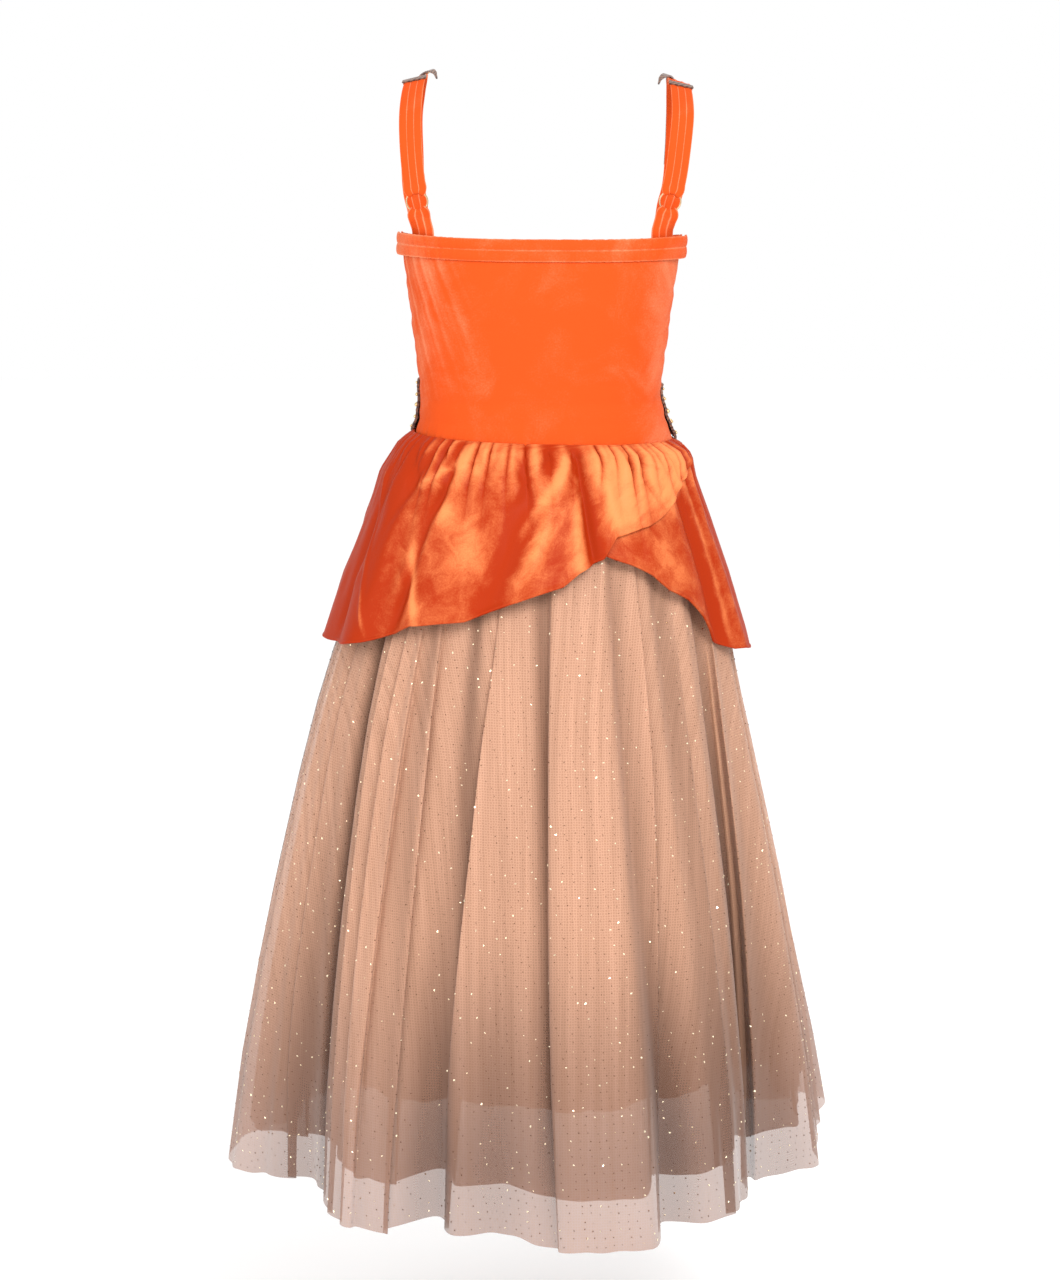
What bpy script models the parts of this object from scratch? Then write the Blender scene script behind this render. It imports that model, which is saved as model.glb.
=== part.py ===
"""A child's costume dress, filled out as when it is worn, with nobody inside.

Velvet bodice with elastic casing, ringed straps, a crossed peplum, two net skirts and a lining.
Every piece is a thin closed wall. Metres, +Z up. The side with the rings, the wearer's back, faces -Y,
+X is the wearer's right, and the origin lies midway between the undersides of the two shoulder straps.
"""

import math

import bpy
import numpy as np

GAP = 0.0003
VELVET = 0.0012
NET = 0.0011
LINING = 0.0011

SEAM_HALF_GAP = 0.0002
# The walls lean at the waist, so their middles end this far above and below the seam line.
BODICE_END = 0.0003
GATHERED_START = 0.0007
GATHERED_ROWS_TOP = -0.3022

# Outline of the body under the bodice, a row for each height.
# height, left half width, right half width, back half depth, front half depth, squareness
BODICE_ROWS = np.array([
    (-0.120, 0.1190, 0.1205, 0.0830, 0.0860, 2.90),
    (-0.155, 0.1158, 0.1156, 0.0850, 0.0890, 2.80),
    (-0.185, 0.1120, 0.1114, 0.0835, 0.0880, 2.60),
    (-0.217, 0.1082, 0.1076, 0.0795, 0.0840, 2.50),
    (-0.251, 0.1041, 0.1028, 0.0750, 0.0790, 2.40),
    (-0.268, 0.1028, 0.1021, 0.0735, 0.0775, 2.35),
    (-0.285, 0.1043, 0.1064, 0.0740, 0.0780, 2.30),
    (-0.302, 0.1085, 0.1118, 0.0760, 0.0800, 2.30),
])
PEPLUM_ROWS = np.array([
    (-0.3025, 0.1085, 0.1118, 0.0760, 0.0800, 2.30),
    (-0.3100, 0.1172, 0.1236, 0.0840, 0.0875, 2.28),
    (-0.3180, 0.1228, 0.1288, 0.0900, 0.0935, 2.25),
    (-0.3345, 0.1346, 0.1328, 0.0995, 0.1035, 2.20),
    (-0.3740, 0.1500, 0.1474, 0.1135, 0.1170, 2.12),
    (-0.4170, 0.1680, 0.1625, 0.1290, 0.1320, 2.06),
    (-0.4750, 0.1873, 0.1800, 0.1470, 0.1500, 2.00),
    (-0.4900, 0.1930, 0.1840, 0.1510, 0.1540, 2.00),
])
SKIRT_ROWS = np.array([
    (-0.3025, 0.1070, 0.1103, 0.0745, 0.0785, 2.30),
    (-0.3180, 0.1130, 0.1150, 0.0800, 0.0840, 2.25),
    (-0.3350, 0.1225, 0.1240, 0.0885, 0.0925, 2.20),
    (-0.3740, 0.1385, 0.1385, 0.1030, 0.1070, 2.12),
    (-0.4170, 0.1550, 0.1520, 0.1170, 0.1200, 2.06),
    (-0.4830, 0.1800, 0.1690, 0.1370, 0.1390, 2.00),
    (-0.5320, 0.1955, 0.1795, 0.1500, 0.1520, 2.00),
    (-0.5950, 0.2122, 0.1950, 0.1680, 0.1690, 2.00),
    (-0.6940, 0.2355, 0.2200, 0.1960, 0.1960, 2.00),
    (-0.7670, 0.2512, 0.2370, 0.2160, 0.2150, 2.00),
    (-0.8490, 0.2668, 0.2560, 0.2390, 0.2380, 2.00),
    (-0.9485, 0.2810, 0.2750, 0.2620, 0.2600, 2.00),
])

# The long folds of the skirt, a row for each crest and each hollow, round from the back centre to +X.
# angle in degrees, how far the hem lies inside the outline as a share of its radius, hem height
SKIRT_FOLDS = np.array([
    (-84.0, 0.000, -0.9460),
    (-72.0, 0.100, -0.9400),
    (-61.0, 0.200, -0.9340),
    (-52.0, 0.130, -0.9380),
    (-37.0, 0.055, -0.9410),
    (-30.0, 0.050, -0.9400),
    (-22.5, 0.175, -0.9330),
    (-16.0, 0.090, -0.9380),
    (-9.00, 0.115, -0.9360),
    (7.000, -0.02, -0.9400),
    (19.00, 0.000, -0.9420),
    (27.00, 0.160, -0.9370),
    (35.00, 0.100, -0.9390),
    (43.00, 0.110, -0.9400),
    (49.00, 0.170, -0.9370),
    (60.00, 0.235, -0.9350),
    (78.00, 0.085, -0.9370),
    (94.00, 0.090, -0.9280),
    (108.0, -0.02, -0.9160),
    (124.0, 0.150, -0.9330),
    (140.0, 0.020, -0.9400),
    (156.0, 0.140, -0.9360),
    (173.0, 0.000, -0.9420),
    (190.0, 0.130, -0.9360),
    (206.0, 0.010, -0.9410),
    (221.0, 0.120, -0.9370),
    (235.0, 0.030, -0.9400),
    (250.0, 0.150, -0.9360),
    (263.0, 0.020, -0.9420),
])

# The broad flutes of the peplum: angle in degrees, share of the radius by which the hem turns in
PEPLUM_FOLDS = np.array([
    (-92.0, 0.000),
    (-74.0, 0.045),
    (-60.0, 0.000),
    (-47.0, 0.055),
    (-34.0, 0.000),
    (-20.0, 0.035),
    (-3.00, -0.01),
    (17.00, 0.060),
    (31.00, 0.000),
    (48.00, 0.030),
    (64.00, 0.060),
    (82.00, 0.000),
    (100.0, 0.010),
    (120.0, 0.055),
    (140.0, 0.000),
    (160.0, 0.045),
    (180.0, 0.000),
    (202.0, 0.050),
    (224.0, 0.000),
    (246.0, 0.055),
])

# Free edge of each peplum panel: angle in degrees, height
OVER_HEM = np.array([
    (-180.0, -0.4480), (-135.0, -0.4680), (-90.00, -0.4760), (-70.00, -0.4740),
    (-55.00, -0.4670), (-44.00, -0.4585), (-37.00, -0.4490), (-21.00, -0.4430),
    (-8.000, -0.4275), (0.0000, -0.4205), (6.0000, -0.4145), (11.000, -0.4030),
    (19.000, -0.3925), (23.500, -0.3745), (30.000, -0.3715), (37.500, -0.3665),
    (45.000, -0.3595), (53.000, -0.3470), (60.000, -0.3360), (71.250, -0.3200),
    (78.750, -0.3110),
])
UNDER_HEM = np.array([
    (-60.00, -0.3180), (-30.00, -0.3450), (0.0000, -0.3740), (20.000, -0.3900),
    (28.000, -0.3990), (35.000, -0.4080), (41.000, -0.4210), (49.000, -0.4310),
    (56.000, -0.4460), (63.000, -0.4690), (72.000, -0.4800), (90.000, -0.4850),
    (110.00, -0.4830), (135.00, -0.4700), (180.00, -0.4480),
])

GATHERS = 48
GATHER_DEEP = 0.0021
# Depth of the gathers as a share of the deepest: distance below the waist seam, share
GATHER_FADE = np.array([
    (0.0000, 0.00),
    (0.0078, 0.80),
    (0.0158, 1.00),
    (0.0323, 0.85),
    (0.0718, 0.35),
    (0.1148, 0.00),
])
OVER_LIFT = 0.0036

# The skirt's small pleats: number round the body, depth as a share of the radius, and how that depth
# changes from the waist (0) to the hem (1)
PLEATS = 26
PLEAT_DEEP = 0.010
PLEAT_FADE = ((0.0, 0.06, 0.35, 1.0), (0.0, 1.0, 1.0, 0.4))
SKIRT_LENGTH = 0.64
LAYER_STEP = 0.0015

# Each skirt layer: columns in a half, rows as shares of its height, how much shorter it is, its share of
# the outline's radius down the skirt (places, shares), steps inward, share of the folds, pleat depth
SKIRT_LAYERS = {
    "net_skirt": (
        53, (0.0, 0.02, 0.06, 0.14, 0.27, 0.40, 0.53, 0.66, 0.78, 0.89, 1.0), 0.0,
        ((0.0, 1.0), (1.0, 1.0)), 0, 1.0, PLEAT_DEEP,
    ),
    "under_net": (
        29, (0.0, 0.03, 0.12, 0.32, 0.55, 0.78, 1.0), 0.036,
        ((0.0, 0.1, 1.0), (1.0, 0.975, 0.955)), 1, 1.0, 0.0,
    ),
    "lining": (
        19, (0.0, 0.04, 0.15, 0.40, 0.70, 1.0), 0.092,
        ((0.0, 0.1, 0.4, 1.0), (1.0, 0.945, 0.86, 0.735)), 2, 0.25, 0.0,
    ),
}

# Shares of the bodice's height: the casing's five rows are 18 mm high, the waist band's rows 46 mm.
BODICE_COLUMNS = 21
CASING_DROPS = (0.0, 0.026, 0.053, 0.079, 0.105)
CASING_THICK = 0.0014
WAIST_TRIM_DROPS = (0.728, 0.80, 0.87, 0.935, 1.0)
WAIST_TRIM_THICK = 0.0022
# The band's lower edge stands away from the seam by this much, over the gathers of the peplum.
WAIST_TRIM_FLARE = 0.0026

# The casing holds two rows of elastic, so it swells twice and is drawn in by the stitching between.
# Its two ends stand off the body, more at the lower edge than at the top.
# swell, stand-off of the right end, stand-off of the left end
CASING_ROWS = np.array([
    (0.0000, 0.0022, 0.0010),
    (0.0009, 0.0026, 0.0016),
    (0.0001, 0.0030, 0.0022),
    (0.0009, 0.0034, 0.0028),
    (0.0000, 0.0038, 0.0034),
])
CASING_END_SHARPNESS = 8

RING_MIDDLE = 0.0088
RING_WIRE = 0.0007
RING_FACETS = 24
WIRE_FACETS = 6
STRAP_THICK = 0.0012
STRAP_HALF = 0.0090
FRONT_STRAP_HALF = 0.0096
FRONT_FOOT_NARROWING = 0.70
FOLD_SPREAD = math.radians(50)
# Each strap's end keeps to the ring's curve up to this far beyond the wire.
FOLD_REACH = 0.007
FOLD_RADIUS = 0.0017
STRAP_LIFT = 0.00085
# The flat facets of a strap's foot stand this much clear of the curved wall that it is tucked behind.
TUCK_CLEAR = 0.0007

# Centre line of each strap from its ring over the shoulder to the front, and how the width leans there
# x, y, z, rise of the inner edge in degrees
STRAP_ROUTES = {
    "left": np.array([
        (-0.1035, -0.0610, -0.0996, 0.0),
        (-0.1062, -0.0655, -0.0780, 0.0),
        (-0.1082, -0.0655, -0.0530, 0.0),
        (-0.1088, -0.0570, -0.0300, 4.0),
        (-0.1075, -0.0360, -0.0105, 12.0),
        (-0.1055, -0.0130, 0.0010, 17.0),
        (-0.1055, 0.0090, 0.0010, 17.0),
        (-0.1090, 0.0330, -0.0110, 12.0),
        (-0.1120, 0.0500, -0.0300, 5.0),
        (-0.1118, 0.0600, -0.0600, 0.0),
        (-0.1108, 0.0640, -0.0900, 0.0),
        (-0.1055, 0.0600, -0.1180, 0.0),
        (-0.1000, 0.0570, -0.1500, 0.0),
    ]),
    "right": np.array([
        (0.1070, -0.0610, -0.0996, 0.0),
        (0.1115, -0.0655, -0.0780, 0.0),
        (0.1148, -0.0655, -0.0530, 0.0),
        (0.1172, -0.0570, -0.0300, 4.0),
        (0.1172, -0.0360, -0.0130, 12.0),
        (0.1162, -0.0130, -0.0025, 17.0),
        (0.1158, 0.0090, -0.0015, 17.0),
        (0.1170, 0.0330, -0.0130, 12.0),
        (0.1180, 0.0500, -0.0320, 5.0),
        (0.1175, 0.0600, -0.0610, 0.0),
        (0.1150, 0.0640, -0.0900, 0.0),
        (0.1070, 0.0600, -0.1180, 0.0),
        (0.1010, 0.0570, -0.1500, 0.0),
    ]),
}
INNER = {"left": 1.0, "right": -1.0}
TAB_FOOT_X = {"left": -0.0987, "right": 0.1009}
SEAM_AT_Y = {"left": -0.0190, "right": -0.0220}

ORANGE = (0.83, 0.125, 0.022, 1.0)
DARK_ORANGE = (0.62, 0.070, 0.012, 1.0)
TAN = (0.60, 0.37, 0.24, 1.0)
PALE_TAN = (0.72, 0.50, 0.36, 1.0)
BROWN = (0.10, 0.045, 0.025, 1.0)
PALE_GOLD = (0.80, 0.62, 0.42, 1.0)


def clear_scene():
    for thing in list(bpy.data.objects):
        bpy.data.objects.remove(thing, do_unlink=True)


def material(name, colour, roughness, metallic=0.0):
    made = bpy.data.materials.get(name) or bpy.data.materials.new(name)
    made.use_nodes = True
    shader = made.node_tree.nodes["Principled BSDF"]
    shader.inputs["Base Color"].default_value = colour
    shader.inputs["Roughness"].default_value = roughness
    shader.inputs["Metallic"].default_value = metallic
    return made


def add_object(name, points, faces, finish):
    mesh = bpy.data.meshes.new(name)
    mesh.from_pydata(points.tolist(), [], faces.tolist())
    mesh.materials.append(finish)
    mesh.update()
    mesh.shade_smooth()
    mesh.set_sharp_from_angle(angle=math.radians(50))
    made = bpy.data.objects.new(name, mesh)
    bpy.context.scene.collection.objects.link(made)
    return made


def normals_of(middle):
    """Unit normals of a grid of points: down the rows crossed with along the columns."""
    normal = np.cross(np.gradient(middle, axis=0), np.gradient(middle, axis=1))
    return normal / np.linalg.norm(normal, axis=-1, keepdims=True)


def wall(name, middle, thick, finish):
    """A closed wall of one thickness round a grid of points, with both sides cut into like triangles."""
    rows, columns = middle.shape[:2]
    offset = normals_of(middle) * thick / 2
    points = np.concatenate([(middle + offset).reshape(-1, 3), (middle - offset).reshape(-1, 3)])
    outer = np.arange(rows * columns).reshape(rows, columns)
    inner = outer + rows * columns
    a, b, c, d = outer[:-1, :-1], outer[1:, :-1], outer[1:, 1:], outer[:-1, 1:]
    skin = np.concatenate([
        np.stack([a, b, c], axis=-1).reshape(-1, 3),
        np.stack([a, c, d], axis=-1).reshape(-1, 3),
    ])
    rims = (
        (outer[0, :-1], outer[0, 1:], inner[0, 1:], inner[0, :-1]),
        (outer[-1, 1:], outer[-1, :-1], inner[-1, :-1], inner[-1, 1:]),
        (outer[:-1, 0], inner[:-1, 0], inner[1:, 0], outer[1:, 0]),
        (outer[1:, -1], inner[1:, -1], inner[:-1, -1], outer[:-1, -1]),
    )
    edges = []
    for first, second, third, fourth in rims:
        edges.append(np.stack([first, second, third], axis=-1))
        edges.append(np.stack([first, third, fourth], axis=-1))
    faces = np.concatenate([skin, skin[:, ::-1] + rows * columns] + edges)
    return add_object(name, points, faces, finish)


def outline(rows, angle, height, share=1.0, inset=0.0):
    """Points of a level ring: each quarter is a superellipse between the row's half widths and depths."""
    down = -rows[:, 0]
    left, right, back, front, square = (np.interp(-height, down, rows[:, k]) for k in range(1, 6))
    side, turn = np.sin(angle), np.cos(angle)
    wide = np.where(side > 0, right, left) * share - inset
    deep = np.where(turn > 0, back, front) * share - inset
    x = wide * np.sign(side) * np.abs(side) ** (2 / square)
    y = -deep * np.sign(turn) * np.abs(turn) ** (2 / square)
    return np.stack(np.broadcast_arrays(x, y, height), axis=-1)


def fold_value(table, column, angle):
    """A table column read round the body: half a cosine wave from each row to the next, back to the first."""
    degrees = np.degrees(angle)
    first = table[0, 0]
    turned = (degrees - first) % 360 + first
    angles = np.append(table[:, 0], first + 360)
    values = np.append(table[:, column], table[0, column])
    place = np.clip(np.searchsorted(angles, turned, side="right") - 1, 0, len(table) - 1)
    part = (turned - angles[place]) / (angles[place + 1] - angles[place])
    blend = (1 - np.cos(np.pi * part)) / 2
    return values[place] * (1 - blend) + values[place + 1] * blend


def waist_height(angle):
    """Height of the waist seam: lower at the back centre and at the right side than at the left."""
    return -0.2990 - 0.0025 * np.cos(angle) - 0.0032 * np.sin(angle)


def back_top_height(angle):
    """Top edge of the back: it dips at the centre and sits a little lower on the right."""
    return -0.1305 + 0.0035 * np.sin(angle) ** 2 - 0.0012 * np.sin(angle)


def front_top_height(angle):
    """Top edge of the front: it meets the back at the side seams and dips at the centre."""
    return -0.1290 - 0.0100 * np.cos(angle) ** 2


def grid(angles, drops, top, bottom):
    """Angle and height for each point of a panel whose rows run from the top edge to the bottom edge."""
    angle, drop = np.meshgrid(np.radians(angles), np.array(drops))
    return angle, top(angle) * (1 - drop) + bottom(angle) * drop


def open_seam(middle, side):
    """Moves a back or front half off the side seam by half its gap."""
    return middle + np.array((0.0, SEAM_HALF_GAP * side, 0.0))


def row_height(angle, height):
    """Height at which the peplum and skirt rows are read: they start at the seam, wherever it sits."""
    below = waist_height(angle) - height
    return height + (GATHERED_ROWS_TOP - waist_height(angle)) * np.clip(1 - below / 0.10, 0, 1)


HALVES = {"back": (-90.0, 90.0, -1.0), "front": (90.0, 270.0, 1.0)}


def bodice_half(half, top, drops):
    """Grid of a bodice half from its top edge down to the waist seam."""
    start, end, side = HALVES[half]

    def foot(angle):
        return waist_height(angle) + BODICE_END

    angle, height = grid(np.linspace(start, end, BODICE_COLUMNS), drops, top, foot)
    return open_seam(outline(BODICE_ROWS, angle, height), side)


def laid_on(middle, rows, thick):
    """Grid of a piece that lies on some rows of a panel: those points moved out, clear of the panel's cloth."""
    out = VELVET / 2 + GAP + thick / 2
    return (middle + normals_of(middle) * out)[rows]


def build_bodice(velvet, trim):
    back = bodice_half("back", back_top_height, CASING_DROPS + (0.28, 0.46, 0.64, 0.82, 1.0))
    front = bodice_half("front", front_top_height, (0.0, 0.15, 0.30, 0.45, 0.60) + WAIST_TRIM_DROPS)
    wall("bodice_back", back, VELVET, velvet)
    wall("bodice_front", front, VELVET, velvet)

    side = np.sin(np.radians(np.linspace(-90, 90, BODICE_COLUMNS)))
    swell, right_end, left_end = (CASING_ROWS[:, k, None] for k in range(3))
    out = swell + right_end * np.clip(side, 0, 1) ** CASING_END_SHARPNESS
    out = out + left_end * np.clip(-side, 0, 1) ** CASING_END_SHARPNESS
    casing = laid_on(back, slice(0, len(CASING_DROPS)), CASING_THICK)
    wall("top_casing", casing + normals_of(casing) * out[..., None], CASING_THICK, velvet)

    flare = np.linspace(0, 1, len(WAIST_TRIM_DROPS))[:, None, None] ** 2 * WAIST_TRIM_FLARE
    band = laid_on(front, slice(-len(WAIST_TRIM_DROPS), None), WAIST_TRIM_THICK)
    wall("waist_trim", band + normals_of(band) * flare, WAIST_TRIM_THICK, trim)


def peplum_panel(angles, hem, lift):
    """Grid of a peplum panel: outline, broad flutes that grow to the hem, and gathers that fade from the waist.

    Its rows lie at the heights of PEPLUM_ROWS, or evenly where the panel is shorter than that."""
    angle = np.radians(angles)
    long = waist_height(angle) - GATHERED_START - np.interp(angles, hem[:, 0], hem[:, 1])
    even = np.linspace(0, 1, len(GATHER_FADE) + 1)[:, None] * long
    below = np.concatenate([np.minimum(GATHER_FADE[:, :1], even[:-1]), even[-1:]])
    height = waist_height(angle) - GATHERED_START - below
    angle = np.broadcast_to(angle, height.shape)
    flute = fold_value(PEPLUM_FOLDS, 1, angle) * np.clip(below / 0.17, 0, 1.1) ** 1.2
    gather = np.cos(GATHERS * angle) * GATHER_DEEP * np.interp(below, GATHER_FADE[:, 0], GATHER_FADE[:, 1])
    lifted = lift * np.interp(np.degrees(angle), (-115, -75), (0, 1))
    inset = -gather - lifted * np.interp(below, (0, 0.0078), (0.8, 1.0))
    middle = outline(PEPLUM_ROWS, angle, row_height(angle, height), 1 - flute, inset)
    middle[..., 2] = height
    return middle


def build_peplum(velvet):
    step = 180 / GATHERS
    under = peplum_panel(np.arange(-60, 180.01, step), UNDER_HEM, 0.0)
    over = peplum_panel(np.arange(-180, 78.76, step), OVER_HEM, OVER_LIFT)
    clear = np.array((SEAM_HALF_GAP, 0.0, 0.0))
    wall("peplum_under", under + clear, VELVET, velvet)
    wall("peplum_over", over - clear, VELVET, velvet)


def skirt_panel(half, layer):
    """Grid of a skirt half. Folds grow from the waist to the hem, and small pleats fill the upper part."""
    columns, drops, shorter, share, steps_in, fold_share, pleat_deep = layer
    start, end, side = HALVES[half]

    def top(angle):
        return waist_height(angle) - GATHERED_START

    def bottom(angle):
        return fold_value(SKIRT_FOLDS, 2, angle) + shorter

    angle, height = grid(np.linspace(start, end, columns), drops, top, bottom)
    fallen = np.clip((waist_height(angle) - height) / SKIRT_LENGTH, 0, 1.05)
    fold = fold_value(SKIRT_FOLDS, 1, angle) * fallen ** 1.25 * fold_share
    pleat = pleat_deep * np.cos(PLEATS * angle) * np.interp(fallen, PLEAT_FADE[0], PLEAT_FADE[1])
    shape = np.interp(fallen, share[0], share[1]) * (1 - fold - pleat)
    middle = outline(SKIRT_ROWS, angle, row_height(angle, height), shape, steps_in * LAYER_STEP)
    middle[..., 2] = height
    return open_seam(middle, side)


def build_skirts(finishes):
    for half in HALVES:
        for name, layer in SKIRT_LAYERS.items():
            thick, finish = finishes[name]
            wall(name + "_" + half, skirt_panel(half, layer), thick, finish)


def smooth_route(keys, samples=400):
    """Even samples by length of a Catmull-Rom curve through the key rows."""
    padded = np.concatenate([2 * keys[:1] - keys[1:2], keys, 2 * keys[-1:] - keys[-2:-1]])
    place = np.linspace(0, len(keys) - 1, samples)
    first = np.minimum(place.astype(int), len(keys) - 2)
    t = (place - first)[:, None]
    before, start, end, after = (padded[first + k] for k in range(4))
    curve = 0.5 * (
        2 * start
        + (end - before) * t
        + (2 * before - 5 * start + 4 * end - after) * t ** 2
        + (3 * start - before - 3 * end + after) * t ** 3
    )
    steps = np.linalg.norm(np.diff(curve[:, :3], axis=0), axis=1)
    return np.concatenate([[0.0], np.cumsum(steps)]), curve


class Strap:
    """The strap of one side: places measured along it, across it to +X, and out from the body."""

    def __init__(self, side):
        self.side = side
        self.inner = INNER[side]
        self.length, self.curve = smooth_route(STRAP_ROUTES[side])
        behind = slice(0, len(self.length) // 2)
        self.seam = float(np.interp(SEAM_AT_Y[side], self.curve[behind, 1], self.length[behind]))

    def at(self, along, across, out):
        """Points at these distances. Behind the route's start it runs on straight."""
        inside = np.clip(along, 0, self.length[-1])
        step = 0.0005
        low = np.clip(inside - step, 0, self.length[-1])
        high = np.clip(inside + step, 0, self.length[-1])
        centre = self.read(inside)
        heading = self.read(high) - self.read(low)
        heading /= np.linalg.norm(heading, axis=-1, keepdims=True)
        rise = np.radians(np.interp(inside, self.length, self.curve[:, 3])) * self.inner
        wide = np.stack([np.cos(rise), np.zeros_like(rise), np.sin(rise)], axis=-1)
        outward = np.cross(wide, heading)
        outward /= np.linalg.norm(outward, axis=-1, keepdims=True)
        wide = np.cross(heading, outward)
        extra = (along - inside)[..., None]
        return centre + heading * extra + wide * across[..., None] + outward * out[..., None]

    def read(self, along):
        return np.stack([np.interp(along, self.length, self.curve[:, k]) for k in range(3)], axis=-1)


def soft_step(value, start, end):
    part = np.clip((value - start) / (end - start), 0, 1)
    return part * part * (3 - 2 * part)


def ring_fold(tail):
    """Path of a strap end round the ring's wire, seen from its edge: distance beyond the wire, distance out.

    It comes in on the outer side, goes half round the wire and runs back for the tail's length."""
    turns = np.linspace(0, np.pi, 9)
    bend = np.stack([-FOLD_RADIUS * np.sin(turns), FOLD_RADIUS * np.cos(turns)], axis=1)
    leave = np.array([(0.003, -FOLD_RADIUS * 0.75), (FOLD_REACH, -STRAP_LIFT), (tail, -STRAP_LIFT)])
    arrive = leave[:2][::-1] * (1, -1)
    return np.concatenate([arrive, bend, leave])


def fold_places(path, half_wide, columns):
    """Along and across distances from the ring's centre: round the wire at the ring, straight further off."""
    beyond, out = path[:, :1], path[:, 1:]
    part = np.linspace(-1, 1, columns)[None, :]
    turn = part * FOLD_SPREAD
    straight = soft_step(beyond, 0.0, FOLD_REACH)
    along = (RING_MIDDLE + beyond) * (np.cos(turn) * (1 - straight) + straight)
    across = (RING_MIDDLE + beyond) * np.sin(turn) * (1 - straight) + half_wide * part * straight
    return along, across, np.broadcast_to(out, along.shape)


def build_back_strap(strap, velvet):
    end = strap.seam - GAP / 2 - RING_MIDDLE
    upper = np.linspace(end, 0.014, 13)
    path = np.concatenate([np.stack([upper, np.full(13, STRAP_LIFT)], axis=1), ring_fold(0.014)])
    along, across, out = fold_places(path, STRAP_HALF, 5)
    wall("strap_back_" + strap.side, strap.at(along, across, out), STRAP_THICK, velvet)


def inside_wall(half, x, height, inset):
    """Point on the inner side of a bodice half at this x and height, by solving the superellipse for its angle."""
    down = -BODICE_ROWS[:, 0]
    left, right, back, front, square = (np.interp(-height, down, BODICE_ROWS[:, k]) for k in range(1, 6))
    wide = np.where(x > 0, right, left) - inset
    deep = (back if half == "back" else front) - inset
    share = np.clip(np.abs(x) / wide, 0, 0.98)
    y = deep * (1 - share ** square) ** (1 / square)
    return np.stack([x, y * HALVES[half][2], height], axis=-1)


def build_tab(strap, velvet):
    """The short tab: sewn inside the back's top edge, up to the ring, round its wire and back down."""
    foot = np.linspace(0.044, 0.014, 7)
    path = np.concatenate([np.stack([foot, np.full(7, STRAP_LIFT)], axis=1), ring_fold(0.012)])
    along, across, out = fold_places(path, STRAP_HALF, 5)
    above = strap.at(-along, across, out)
    ring_height = STRAP_ROUTES[strap.side][0, 2]
    height = ring_height - along
    low = soft_step(height, -0.112, -0.128)
    inset = VELVET / 2 + GAP + STRAP_THICK / 2 + TUCK_CLEAR + STRAP_LIFT - out
    inside = inside_wall("back", TAB_FOOT_X[strap.side] + across, height, inset)
    low = low[..., None]
    wall("strap_tab_" + strap.side, above * (1 - low) + inside * low, STRAP_THICK, velvet)


def build_front_strap(strap, velvet):
    """The front strap: from the shoulder seam over the crown and down inside the front's top edge."""
    start = strap.seam + GAP / 2
    along = np.linspace(start, strap.length[-1], 18)[:, None]
    part = np.linspace(-1, 1, 5)[None, :]
    along, part = np.broadcast_arrays(along, part)
    half = FRONT_STRAP_HALF + 0.0010 * (1 - soft_step(along, start, start + 0.02))
    middle = strap.at(along, half * part, np.full(along.shape, STRAP_LIFT))
    height = middle[..., 2]
    in_front = soft_step(along, start + 0.03, start + 0.05)
    low = (soft_step(height, -0.098, -0.122) * in_front)[..., None]
    inset = VELVET / 2 + GAP + STRAP_THICK / 2 + TUCK_CLEAR
    centre_x = middle[:, 2:3, 0]
    foot_x = centre_x + (middle[..., 0] - centre_x) * FRONT_FOOT_NARROWING
    inside = inside_wall("front", foot_x, height, inset)
    wall("strap_front_" + strap.side, middle * (1 - low) + inside * low, STRAP_THICK, velvet)


def build_ring(strap, metal):
    """A wire ring in the strap's plane."""
    around = np.linspace(0, 2 * np.pi, RING_FACETS, endpoint=False)[:, None]
    about = np.linspace(0, 2 * np.pi, WIRE_FACETS, endpoint=False)[None, :]
    reach = RING_MIDDLE + RING_WIRE * np.cos(about)
    points = strap.at(
        reach * np.cos(around),
        reach * np.sin(around),
        np.broadcast_to(RING_WIRE * np.sin(about), (RING_FACETS, WIRE_FACETS)),
    ).reshape(-1, 3)
    place = np.arange(RING_FACETS * WIRE_FACETS).reshape(RING_FACETS, WIRE_FACETS)
    after = np.roll(place, -1, axis=0)
    beside = np.roll(place, -1, axis=1)
    both = np.roll(after, -1, axis=1)
    faces = np.stack([place, after, both, beside], axis=-1).reshape(-1, 4)
    made = add_object("ring_" + strap.side, points, faces, metal)
    corners = points[faces]
    volume = np.einsum("ij,ij->i", corners[:, 0], np.cross(corners[:, 1], corners[:, 2])).sum()
    if volume < 0:
        made.data.flip_normals()


def build_shoulder_braid(strap, trim):
    along = np.linspace(strap.seam - BRAID_HALF, strap.seam + BRAID_HALF, 3)[:, None]
    across = np.linspace(-1, 1, 5)[None, :] * (FRONT_STRAP_HALF + 0.0008)
    along, across = np.broadcast_arrays(along, across)
    out = np.full(along.shape, STRAP_LIFT + STRAP_THICK / 2 + 2 * GAP + BRAID_THICK / 2)
    wall("shoulder_braid_" + strap.side, strap.at(along, across, out), BRAID_THICK, trim)


BRAID_THICK = 0.0014
BRAID_HALF = 0.0028
# Dark braid by the neck, which tapers to a point beside the shoulder seam
# distance past the seam, distance in from the strap's middle, distance out, half width
NECK_TRIM_ROWS = np.array([
    (-0.0020, 0.0190, 0.0000, 0.0005),
    (0.0040, 0.0176, 0.0012, 0.0015),
    (0.0100, 0.0150, 0.0026, 0.0026),
    (0.0200, 0.0110, 0.0027, 0.0032),
    (0.0320, 0.0075, 0.0027, 0.0035),
    (0.0500, 0.0065, 0.0026, 0.0035),
    (0.1250, 0.0065, 0.0026, 0.0035),
])
# On the left strap it lies further from the neck, once it is down in front.
NECK_TRIM_SHIFT = {"left": 0.0025, "right": 0.0}


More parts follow.
